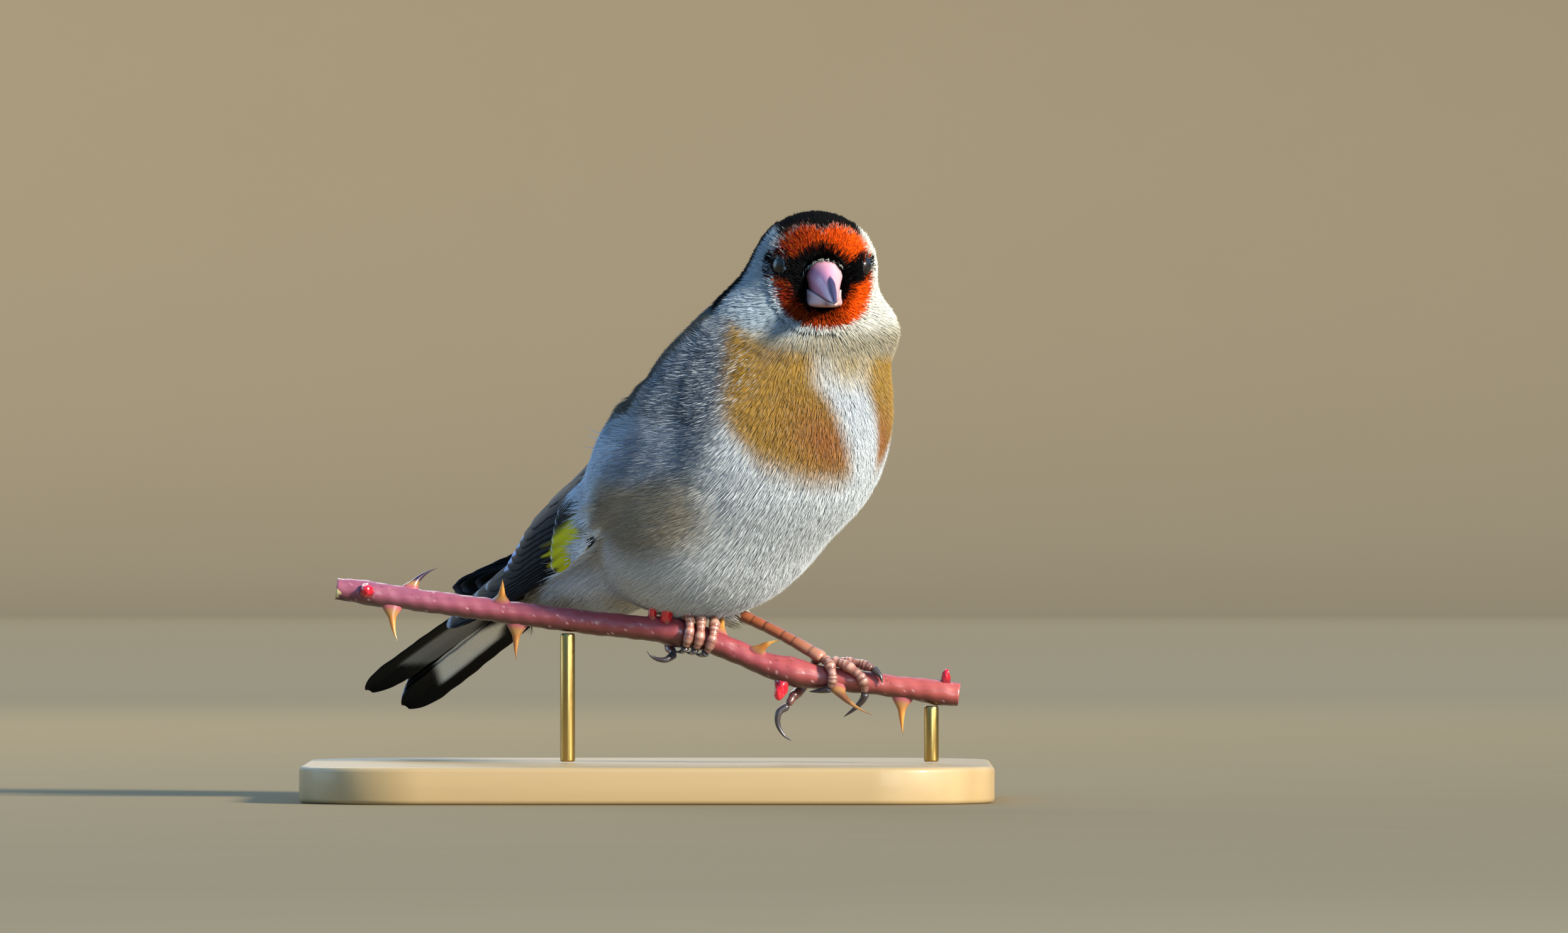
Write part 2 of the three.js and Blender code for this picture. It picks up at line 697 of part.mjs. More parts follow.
// Places on the folded wing: u along it, v across it, so far over the body or over the wing's own bend
function wingSheet(side) {
  const { wrist, along, out, back } = wingFrame(side);
  const reach = WING_ROLL + 14;
  return (u, v, lift) => {
    const turn = v / WING_ROLL;
    const way = out.clone().multiplyScalar(Math.cos(turn)).addScaledVector(back, Math.sin(turn));
    const middle = wrist.clone().addScaledVector(along, u).addScaledVector(out, -WING_ROLL);
    const blade = WING_ROLL - WING_BOW * Math.min(u - 76, 0) ** 2;
    let far = reach;
    for (let n = 0; n < 60 && far > blade - 4; n++) {
      const distance = bodyField(middle.clone().addScaledVector(way, far));
      if (distance < 0.02) break;
      far -= Math.max(distance * 0.8, 0.02);
    }
    return middle.addScaledVector(way, -melt(-far, -blade, 2.5) + lift);
  };
}

// Share of a feather's full width along it, from its quill to its rounded tip
const FEATHER_OUTLINE = [0.5, 0.9, 1, 0.98, 0.86, 0.2];
function featherWidth(t) {
  const place = t * (FEATHER_OUTLINE.length - 1);
  const i = Math.min(Math.floor(place), FEATHER_OUTLINE.length - 2);
  return THREE.MathUtils.lerp(FEATHER_OUTLINE[i], FEATHER_OUTLINE[i + 1], place - i);
}

function feather(sheet, { root, tip, half, lift, bow = 0, rows = 4 }) {
  return plate(rows, 2, (t, w, face) => {
    const u = THREE.MathUtils.lerp(root[0], tip[0], t);
    const v = THREE.MathUtils.lerp(root[1], tip[1], t) + bow * Math.sin(Math.PI * t);
    const crown = 0.16 * (1 - w * w);
    const thick = t > 0.99 ? 0.6 * VANE : VANE;
    return sheet(u, v + w * half * featherWidth(t), lift + crown + (face * thick) / 2);
  });
}

function wing(side) {
  const sheet = wingSheet(side);
  const feathers = [];
  let lift = GAP + VANE / 2 + 0.05;
  for (const { tips, half, root, tip, fan, bow } of FLIGHT_ROWS) {
    tips.forEach((end, i) => {
      const way = { root: [root[0], root[1] + i * fan[0]], tip: [end, tip + i * fan[1]] };
      feathers.push(feather(sheet, { ...way, half, bow, lift }));
      lift += TIER;
    });
  }
  const { count, root, tip, fan, half } = COVERTS;
  for (let i = 0; i < count; i++) {
    const way = {
      root: [root[0] - i * 0.3, root[1] + i * fan[0]],
      tip: [tip[0] - i * 0.5, tip[1] + i * fan[1]],
    };
    feathers.push(feather(sheet, { ...way, half, lift: GAP + 1.5 + i * 0.25, rows: 3 }));
  }
  const shoulder = plate(4, 4, (t, w, face) => {
    const u = THREE.MathUtils.lerp(SHOULDER.from, SHOULDER.to, t);
    const round = Math.sqrt(Math.max(1 - (1 - t) ** 3, 0.08));
    const rise = SHOULDER.thick * (0.5 + t) * (1 - w * w * 0.5) * round;
    return sheet(u, w * SHOULDER.across * round, face > 0 ? GAP + 0.7 + rise : GAP + 0.05);
  });
  return largest(clearOf(fuse([shoulder, ...feathers]), grownBody));
}

// Tail
function tail() {
  const frame = pitchedFrame(TAIL_ROOT, -TAIL_PITCH).multiply(
    new THREE.Matrix4().makeRotationX(-radians(TAIL_ROLL)),
  );
  const sheet = (u, v, lift) =>
    new THREE.Vector3(-u, v, lift - (v * v) / TAIL_BEND).applyMatrix4(frame);
  const feathers = [];
  for (let i = 0; i < TAIL_PAIRS; i++) {
    for (const side of [-1, 1]) {
      const share = i / (TAIL_PAIRS - 1);
      feathers.push(
        feather(sheet, {
          root: [4, side * (0.6 + share * 1.2)],
          tip: [TAIL_OUTER - TAIL_FORK * (1 - share) ** 1.4, side * (1.6 + share * 2.2)],
          bow: side * share * 0.5,
          half: TAIL_VANE_HALF,
          lift: (side > 0 ? TAIL_TIER / 3 : 0) - i * TAIL_TIER,
          rows: 5,
        }),
      );
    }
  }
  const core = rod(
    new THREE.LineCurve3(sheet(0, 0, -0.8), sheet(16, 0, -0.8)),
    (t) => 2.6 * (1 - t) + 0.3,
    3,
    8,
  );
  return largest(clearOf(fuse([core, ...feathers]), grownBody));
}

// Stand
function standBase() {
  const [x, y, r] = [BASE_LENGTH / 2 - BASE_CHAMFER, BASE_DEPTH / 2 - BASE_CHAMFER, BASE_CORNER];
  const outline = new THREE.Shape();
  outline.moveTo(-x + r, -y);
  outline.lineTo(x - r, -y);
  outline.absarc(x - r, -y + r, r, -Math.PI / 2, 0);
  outline.lineTo(x, y - r);
  outline.absarc(x - r, y - r, r, 0, Math.PI / 2);
  outline.lineTo(-x + r, y);
  outline.absarc(-x + r, y - r, r, Math.PI / 2, Math.PI);
  outline.lineTo(-x, -y + r);
  outline.absarc(-x + r, -y + r, r, Math.PI, 1.5 * Math.PI);
  return solidOf(
    new THREE.ExtrudeGeometry(outline, {
      depth: BASE_THICKNESS - 2 * BASE_CHAMFER,
      bevelThickness: BASE_CHAMFER,
      bevelSize: BASE_CHAMFER,
      bevelSegments: 1,
      curveSegments: 7,
    }).translate(0, 0, BASE_CHAMFER),
  );
}

function standRod(x, stem) {
  const foot = BASE_THICKNESS + GAP;
  const top = stemAt(x).centre.z;
  const length = top - foot;
  const bar = solidOf(
    new THREE.CylinderGeometry(ROD_RADIUS, ROD_RADIUS, length, ROD_SIDES)
      .rotateX(Math.PI / 2)
      .translate(x, STEM_Y, foot + length / 2),
  );
  return largest(clearOf(bar, stem));
}

// The whole part
const part = new THREE.Group();
function add(name, solid, material) {
  const mesh = new THREE.Mesh(geometryOf(solid), material);
  mesh.name = name;
  part.add(mesh);
  return solid;
}

const grownPerch = perch(GAP);
const grownBill = [billHalf(true, BILL_ROOM), billHalf(false, BILL_ROOM)];
add("head", head(grownBill), FINISHES.face);
add("neck", neck(), FINISHES.breast);
add("bill_upper", upperBill(), FINISHES.bill);
add("bill_lower", billHalf(false, 0), FINISHES.bill);
for (const [name, side] of Object.entries(eyePlaces)) {
  add(`eye_${name}`, eyeball(side, 0), FINISHES.eye);
  add(`wing_${name}`, wing(side), FINISHES.flight);
}
add("tail", tail(), FINISHES.flight);
add("torso", torso(grownPerch), FINISHES.breast);
for (const [name, foot] of Object.entries(FEET)) {
  const grown = [grownBody];
  for (const [toeName, way] of Object.entries(foot.toes)) {
    add(`toe_${name}_${toeName}`, largest(clearOf(toe(foot.x, way), ...grown)), FINISHES.leg);
    grown.push(toe(foot.x, way, GAP));
    add(`claw_${name}_${toeName}`, largest(clearOf(claw(foot.x, way), ...grown)), FINISHES.claw);
    grown.push(claw(foot.x, way, GAP));
  }
  if (foot.heel) {
    add(`tarsus_${name}`, largest(clearOf(tarsus(foot), ...grown, grownPerch)), FINISHES.leg);
  }
}
add("perch", perch(0), FINISHES.bark);
add("stand_base", standBase(), FINISHES.wood);
for (const [name, x] of Object.entries(ROD_PLACES)) {
  add(`stand_rod_${name}`, standRod(x, grownPerch), FINISHES.brass);
}

export default part;
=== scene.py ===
"""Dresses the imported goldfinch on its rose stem: skin, plumage, eyes, bill, feet, bark and stand.

Sizes are millimetres in the part's own frame: +Z up, the viewer on the -Y side, the origin under the
middle of the stand. Meshes are written in metres.
"""

import logging
import math
from dataclasses import dataclass, field
from enum import Enum
from typing import Callable, Protocol, Sequence

import bmesh
import bpy
import numpy as np
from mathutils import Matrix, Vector
from mathutils.bvhtree import BVHTree


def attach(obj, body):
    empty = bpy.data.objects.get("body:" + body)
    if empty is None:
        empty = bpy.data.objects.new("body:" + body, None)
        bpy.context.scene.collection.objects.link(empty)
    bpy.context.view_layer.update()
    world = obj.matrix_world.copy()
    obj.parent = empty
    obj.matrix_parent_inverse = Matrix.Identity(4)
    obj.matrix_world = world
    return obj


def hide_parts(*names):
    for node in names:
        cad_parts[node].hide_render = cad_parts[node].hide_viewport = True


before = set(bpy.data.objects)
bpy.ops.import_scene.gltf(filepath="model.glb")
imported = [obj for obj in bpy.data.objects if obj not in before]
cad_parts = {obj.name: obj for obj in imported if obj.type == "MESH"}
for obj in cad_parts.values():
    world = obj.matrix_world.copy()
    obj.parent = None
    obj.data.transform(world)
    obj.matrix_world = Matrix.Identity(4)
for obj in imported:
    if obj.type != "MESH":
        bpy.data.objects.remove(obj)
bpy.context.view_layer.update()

MM = 0.001
BODY = "root"
SEED = 20

log = logging.getLogger("goldfinch")
Array = np.ndarray


# Numbers, colours and frames


def rgb(code: str) -> Array:
    """The linear colour of a six-digit sRGB code."""
    parts = np.array([int(code[i : i + 2], 16) for i in (0, 2, 4)]) / 255
    return np.where(parts <= 0.04045, parts / 12.92, ((parts + 0.055) / 1.055) ** 2.4)


def unit(a: Array) -> Array:
    """Vectors at length one."""
    return a / np.maximum(np.linalg.norm(a, axis=-1, keepdims=True), 1e-9)


def ease(low: float, high: float, x: Array) -> Array:
    """A smooth step from 0 at low to 1 at high, which may be the smaller."""
    t = np.clip((x - low) / (high - low), 0, 1)
    return t * t * (3 - 2 * t)


def mix(a: Array, b: Array, share: Array) -> Array:
    """Each row of a taken towards b by its share."""
    return a + (b - a) * np.asarray(share)[..., None]


def layered(base: str | Array, *layers: tuple[str, Array]) -> Array:
    """A colour with others laid over it in turn.

    Args:
        base: The sRGB code of the lowest one, or linear colours.
        layers: The codes of the others, each with how much it covers at each place.

    Returns:
        A linear colour for each place.
    """
    colour = rgb(base) if isinstance(base, str) else base
    for code, share in layers:
        colour = mix(colour, rgb(code), share)
    return colour


def around(sides: int) -> Array:
    """Angles of evenly spaced places on a circle."""
    return np.linspace(0, 2 * math.pi, sides, endpoint=False)


def spokes(turn: Array, level: Array, rise: Array) -> Array:
    """The ways to places on a circle that lies along two directions."""
    return np.outer(np.cos(turn), level) + np.outer(np.sin(turn), rise)


def nearest(points: Array, route: Array) -> Array:
    """The number of the route's place that is nearest to each point."""
    return np.argmin(np.linalg.norm(points[:, None] - route[None], axis=2), axis=1)


@dataclass(frozen=True)
class Axes:
    """A place with a forward, a left and an up direction of its own.

    Attributes:
        at: The place, in millimetres of the part's frame.
        rows: The three directions, one a row.
    """

    at: Array
    rows: Array

    def out(self, local: Sequence[float] | Array) -> Array:
        """Places of these axes in the part's frame."""
        return self.at + np.asarray(local, float) @ self.rows

    def into(self, points: Array) -> Array:
        """Places of the part's frame in these axes."""
        return (points - self.at) @ self.rows.T

    def pitched(self, at: Sequence[float], pitch: float, roll: float) -> "Axes":
        """Axes at a place of these, turned nose up and then left side down.

        Args:
            at: The place, in these axes.
            pitch: Degrees that the forward axis turns up.
            roll: Degrees that the left axis turns down.

        Returns:
            The turned axes.
        """
        p, r = math.radians(pitch), math.radians(roll)
        forward = np.array([math.cos(p), 0, math.sin(p)])
        up = np.array([-math.sin(p), 0, math.cos(p)])
        left = np.array([0.0, 1, 0])
        turned = [forward, math.cos(r) * left - math.sin(r) * up, math.sin(r) * left + math.cos(r) * up]
        return Axes(self.out(at), np.array(turned) @ self.rows)


def facing(at: Array, yaw: float, pitch: float) -> Axes:
    """Level-winged axes that look from -Y by so many degrees towards +X, and up.

    Args:
        at: Their place.
        yaw: Degrees from -Y towards +X.
        pitch: Degrees that the forward axis turns up.

    Returns:
        The axes.
    """
    y, p = math.radians(yaw), math.radians(pitch)
    forward = np.array([math.sin(y) * math.cos(p), -math.cos(y) * math.cos(p), math.sin(p)])
    left = unit(np.cross([0, 0, 1], forward))
    return Axes(at, np.array([forward, left, np.cross(forward, left)]))


STEM_Y = -9.0
VIEWER = np.array([0.0, -1, 0])
BIRD = facing(np.array([6.0, STEM_Y + 3, 0]), 45, 0)
HEAD = facing(BIRD.out([30.4, 0, 85]), 8.5, -10)


# Meshes


def loft(bm: bmesh.types.BMesh, rings: Sequence[Array]) -> None:
    """Adds a closed body to bm by extruding a circle from ring to ring and capping its ends.

    Args:
        bm: The mesh that it joins.
        rings: Rings of as many places each, in millimetres.
    """
    ring = bmesh.ops.create_circle(bm, segments=len(rings[0]), radius=1)["verts"]
    first = ring
    for place, vert in zip(rings[0], ring):
        vert.co = Vector(place) * MM
    faces: list[bmesh.types.BMFace] = []
    for places in rings[1:]:
        pairs = zip(ring, ring[1:] + ring[:1])
        edges = [bm.edges.get(pair) for pair in pairs]
        grown = bmesh.ops.extrude_edge_only(bm, edges=edges)["geom"]
        fresh = {item for item in grown if isinstance(item, bmesh.types.BMVert)}
        faces += [item for item in grown if isinstance(item, bmesh.types.BMFace)]
        ring = [next(e.other_vert(v) for e in v.link_edges if e.other_vert(v) in fresh) for v in ring]
        for place, vert in zip(places, ring):
            vert.co = Vector(place) * MM
    caps = [bm.faces.new(first), bm.faces.new(ring)]
    bmesh.ops.recalc_face_normals(bm, faces=faces + caps)


# A way that slants across every route
ASKEW = np.array([0.31, -0.27, 0.9])


def rings_along(places: Array, radii: Array, sides: int, flat: float = 1.0) -> list[Array]:
    """Rings square to a route.

    Args:
        places: The route's places.
        radii: The radius at each.
        sides: How many places a ring has.
        flat: How thick a ring is towards the stem's front, as a share of its width.

    Returns:
        The rings.
    """
    along = unit(np.gradient(places, axis=0))
    side = unit(np.cross(along, along[0] + ASKEW))
    for i in range(1, len(side)):
        side[i] = unit(side[i - 1] - along[i] * (side[i - 1] @ along[i]))
    up = np.cross(side, along)
    turn = around(sides)
    return [p + r * spokes(turn, s, flat * u) for p, r, s, u in zip(places, radii, side, up)]


def points_of(mesh: bpy.types.Mesh) -> Array:
    """A mesh's vertices, in millimetres."""
    places = np.empty(len(mesh.vertices) * 3)
    mesh.vertices.foreach_get("co", places)
    return places.reshape(-1, 3) / MM


def weld(bm: bmesh.types.BMesh, near: float = 1e-7) -> None:
    """Joins vertices closer than so many metres, which closes poles."""
    bmesh.ops.remove_doubles(bm, verts=bm.verts, dist=near)


def mesh_from(bm: bmesh.types.BMesh, name: str) -> bpy.types.Mesh:
    """Turns a bmesh into a smooth-shaded mesh and frees it.

    Args:
        bm: The finished bmesh.
        name: The mesh's name.

    Returns:
        The mesh.
    """
    for face in bm.faces:
        face.smooth = True
    mesh = bpy.data.meshes.new(name)
    bm.to_mesh(mesh)
    bm.free()
    return mesh


def lofted(name: str, *bodies: Sequence[Array], near: float = 1e-7) -> bpy.types.Mesh:
    """A mesh of one or more lofts.

    Args:
        name: The mesh's name.
        bodies: The rings of each loft.
        near: How close together, in metres, vertices are joined.

    Returns:
        The mesh.
    """
    bm = bmesh.new()
    for rings in bodies:
        loft(bm, rings)
    weld(bm, near)
    return mesh_from(bm, name)


def spin_round(bm: bmesh.types.BMesh, steps: int) -> None:
    """Spins all of bm once round +Z and closes it."""
    geom = [*bm.verts, *bm.edges]
    bmesh.ops.spin(
        bm, geom=geom, cent=(0, 0, 0), axis=(0, 0, 1), angle=2 * math.pi, steps=steps, use_merge=True
    )


def tree_of(*meshes: bpy.types.Mesh) -> BVHTree:
    """One search tree over several meshes, in metres."""
    bm = bmesh.new()
    for mesh in meshes:
        bm.from_mesh(mesh)
    tree = BVHTree.FromBMesh(bm)
    bm.free()
    return tree


def add_object(name: str, data: bpy.types.ID) -> bpy.types.Object:
    """Links a new object into the scene."""
    made = bpy.data.objects.new(name, data)
    bpy.context.scene.collection.objects.link(made)
    return made


# Finishes


class Texture(Enum):
    """What breaks up a finish's surface."""

    MOTTLED = "mottled"
    BARBED = "barbed"
    GRAINED = "grained"


@dataclass(frozen=True)
class Finish:
    """A surface that takes its colour from the Tint attribute and its relief from a fine pattern.

    Attributes:
        name: The material's name.
        roughness: Its middle roughness.
        texture: The pattern.
        size: How many of the pattern's features there are to a millimetre.
        mottle: How much darker the pattern makes its hollows.
        relief: How strong its bump is.
        height: How deep its bump is, in millimetres.
        coat: Weight of a clear coat.
        sheen: Weight of a soft sheen.
        soft: Weight of light scattered inside.
        metal: 1 for a metal.
        specular: Level of its reflections.
    """

    name: str
    roughness: float
    texture: Texture = Texture.MOTTLED
    size: float = 2.0
    mottle: float = 0.15
    relief: float = 0.3
    height: float = 0.05
    coat: float = 0.0
    sheen: float = 0.0
    soft: float = 0.0
    metal: float = 0.0
    specular: float = 0.5

    def material(self) -> bpy.types.Material:
        """Builds the material, or finds it when a piece before had it.

        Returns:
            The material.
        """
        known = bpy.data.materials.get(self.name)
        if known:
            return known
        material = bpy.data.materials.new(self.name)
        material.use_nodes = True
        nodes, links = material.node_tree.nodes, material.node_tree.links
        shader = nodes["Principled BSDF"]
        for socket, value in {
            "Metallic": self.metal,
            "Coat Weight": self.coat,
            "Coat Roughness": 0.08,
            "Sheen Weight": self.sheen,
            "Sheen Roughness": 0.45,
            "Subsurface Weight": self.soft,
            "Subsurface Scale": 0.002,
            "Specular IOR Level": self.specular,
        }.items():
            shader.inputs[socket].default_value = value
        pattern = self._pattern(nodes, links)
        tint = nodes.new("ShaderNodeAttribute")
        tint.attribute_name = "Tint"
        shade = nodes.new("ShaderNodeMapRange")
        shade.inputs["To Min"].default_value = 1 - self.mottle
        shade.inputs["To Max"].default_value = 1 + self.mottle * 0.5
        links.new(pattern, shade.inputs["Value"])
        scaled = nodes.new("ShaderNodeVectorMath")
        scaled.operation = "SCALE"
        links.new(tint.outputs["Color"], scaled.inputs[0])
        links.new(shade.outputs["Result"], scaled.inputs["Scale"])
        links.new(scaled.outputs["Vector"], shader.inputs["Base Color"])
        gloss = nodes.new("ShaderNodeMapRange")
        gloss.inputs["To Min"].default_value = min(self.roughness + 0.08, 1)
        gloss.inputs["To Max"].default_value = max(self.roughness - 0.08, 0.02)
        links.new(pattern, gloss.inputs["Value"])
        links.new(gloss.outputs["Result"], shader.inputs["Roughness"])
        bump = nodes.new("ShaderNodeBump")
        bump.inputs["Strength"].default_value = self.relief
        bump.inputs["Distance"].default_value = self.height * MM
        links.new(pattern, bump.inputs["Height"])
        links.new(bump.outputs["Normal"], shader.inputs["Normal"])
        return material

    def _pattern(self, nodes: bpy.types.Nodes, links: bpy.types.NodeLinks) -> bpy.types.NodeSocket:
        """The socket with the pattern's height, from 0 to 1.

        Args:
            nodes: The material's nodes.
            links: The material's links.

        Returns:
            The socket.
        """
        if self.texture is Texture.BARBED:
            lines = nodes.new("ShaderNodeTexWave")
            lines.inputs["Scale"].default_value = self.size
            lines.inputs["Distortion"].default_value = 2.5
            lines.inputs["Detail"].default_value = 2
            map_uv = nodes.new("ShaderNodeUVMap")
            map_uv.uv_map = "Vane"
            links.new(map_uv.outputs["UV"], lines.inputs["Vector"])
            return lines.outputs["Fac"]
        place = nodes.new("ShaderNodeTexCoord")
        spread = nodes.new("ShaderNodeMapping")
        links.new(place.outputs["Object"], spread.inputs["Vector"])
        if self.texture is Texture.GRAINED:
            spread.inputs["Scale"].default_value = (0.09, 1, 1)
        noise = nodes.new("ShaderNodeTexNoise")
        noise.inputs["Scale"].default_value = self.size / MM
        noise.inputs["Detail"].default_value = 6
        noise.inputs["Roughness"].default_value = 0.62
        links.new(spread.outputs["Vector"], noise.inputs["Vector"])
        return noise.outputs["Fac"]


DOWN = Finish("down", 0.75, size=1.2, mottle=0.08, relief=0.05, specular=0.08)
SKIN = Finish("skin", 0.9, size=1.5, mottle=0.3, relief=0.6, height=0.2, specular=0.2)
VANE = Finish("vane", 0.48, Texture.BARBED, size=26, mottle=0.3, relief=0.5, height=0.06, specular=0.08)
HORN = Finish("horn", 0.3, size=1.4, mottle=0.12, relief=0.12, coat=0.25, soft=0.15)
EYE = Finish("eye", 0.05, size=1, mottle=0.1, relief=0.0, coat=0.25, specular=0.2)
LEATHER = Finish("leather", 0.3, size=2.2, mottle=0.3, relief=0.5, coat=0.45, soft=0.08)
CLAW = Finish("claw", 0.3, size=2, mottle=0.2, relief=0.2, coat=0.3)
BARK = Finish("bark", 0.38, Texture.GRAINED, size=1.6, mottle=0.4, relief=0.5, height=0.1, coat=0.2)
BUD = Finish("bud", 0.22, size=2, mottle=0.2, relief=0.2, coat=0.6, soft=0.1)
WOOD = Finish("wood", 0.5, Texture.GRAINED, size=0.25, mottle=0.16, relief=0.15, height=0.05, coat=0.1)
BRASS = Finish("brass", 0.3, size=0.8, mottle=0.08, relief=0.05, metal=1.0)
PAPER = Finish("paper", 0.9, size=0.02, mottle=0.02, relief=0.0, specular=0.1)


def dress(mesh: bpy.types.Mesh, colours: Array, finish: Finish) -> bpy.types.Object:
    """Puts a finished mesh in the scene, in its colours and finish.

    Args:
        mesh: The mesh, in metres, already in place.
        colours: A linear colour for all of it or for each vertex.
        finish: What it is finished in.

    Returns:
        The object.
    """
    rows = np.ones((len(mesh.vertices), 4))
    rows[:, :3] = np.clip(colours, 0, 1)
    mesh.color_attributes.new("Tint", "FLOAT_COLOR", "POINT").data.foreach_set("color", rows.ravel())
    mesh.materials.append(finish.material())
    return add_object(mesh.name, mesh)


def place_piece(
    mesh: bpy.types.Mesh, colours: Array, finish: Finish, slot: str, *nodes: str
) -> bpy.types.Object:
    """Dresses a finished mesh, hangs it on the body, hides the CAD nodes that it stands for and logs its
    face count.

    Args:
        mesh: The mesh, in metres, already in place, under the piece's name.
        colours: A linear colour for all of it or for each vertex.
        finish: What it is finished in.
        slot: The record's material slot; not used.
        nodes: The CAD nodes that it stands for.

    Returns:
        The piece.
    """
    piece = dress(mesh, colours, finish)
    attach(piece, BODY)
    if nodes:
        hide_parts(*nodes)
    log.info("%s: %d faces", piece.name, len(mesh.polygons))
    return piece


# Markings


def spine_height(ahead: Array) -> Array:
    """How high the line between the back and the flanks lies, so far forward in the bird."""
    return 41 + (ahead + 15.6) * 0.62


def round_breast(ahead: Array, left: Array) -> Array:
    """Degrees round the breast from the bird's front, at places so far forward and left."""
    return np.degrees(np.arctan2(np.abs(left), ahead - 18))


@dataclass(frozen=True)
class Patch:
    """A soft-edged patch of colour on the body's two sides.

    Attributes:
        colour: Its sRGB code.
        at: Its middle, forward and up in the bird's axes.
        reach: How far it reaches along and across its tilt.
        tilt: Degrees that its length rises forward.
        strength: How much of its colour shows.
        across: Distances from the bird's middle plane where it starts and where it is full.
        streak: How pale its feathers' tips and how dark their roots are.
    """

    colour: str
    at: tuple[float, float]
    reach: tuple[float, float]
    tilt: float = 0.0
    strength: float = 1.0
    across: tuple[float, float] = (6.0, 10.0)
    streak: float = 0.0

    def weight(self, places: Array) -> Array:
        """How much of the patch shows at places in the bird's axes.

        Args:
            places: Rows of forward, left and up.

        Returns:
            A share for each.
        """
        ahead, rise = places[:, 0] - self.at[0], places[:, 2] - self.at[1]
        c, s = math.cos(math.radians(self.tilt)), math.sin(math.radians(self.tilt))
        far = np.hypot((c * ahead + s * rise) / self.reach[0], (c * rise - s * ahead) / self.reach[1])
        return self.strength * (1 - ease(0.6, 1.2, far)) * ease(*self.across, np.abs(places[:, 1]))


@dataclass(frozen=True)
class Marks:
    """What the plumage looks like at some places: colour, streakiness and sparkle of its barbs."""

    colour: Array
    streak: Array
    spark: Array


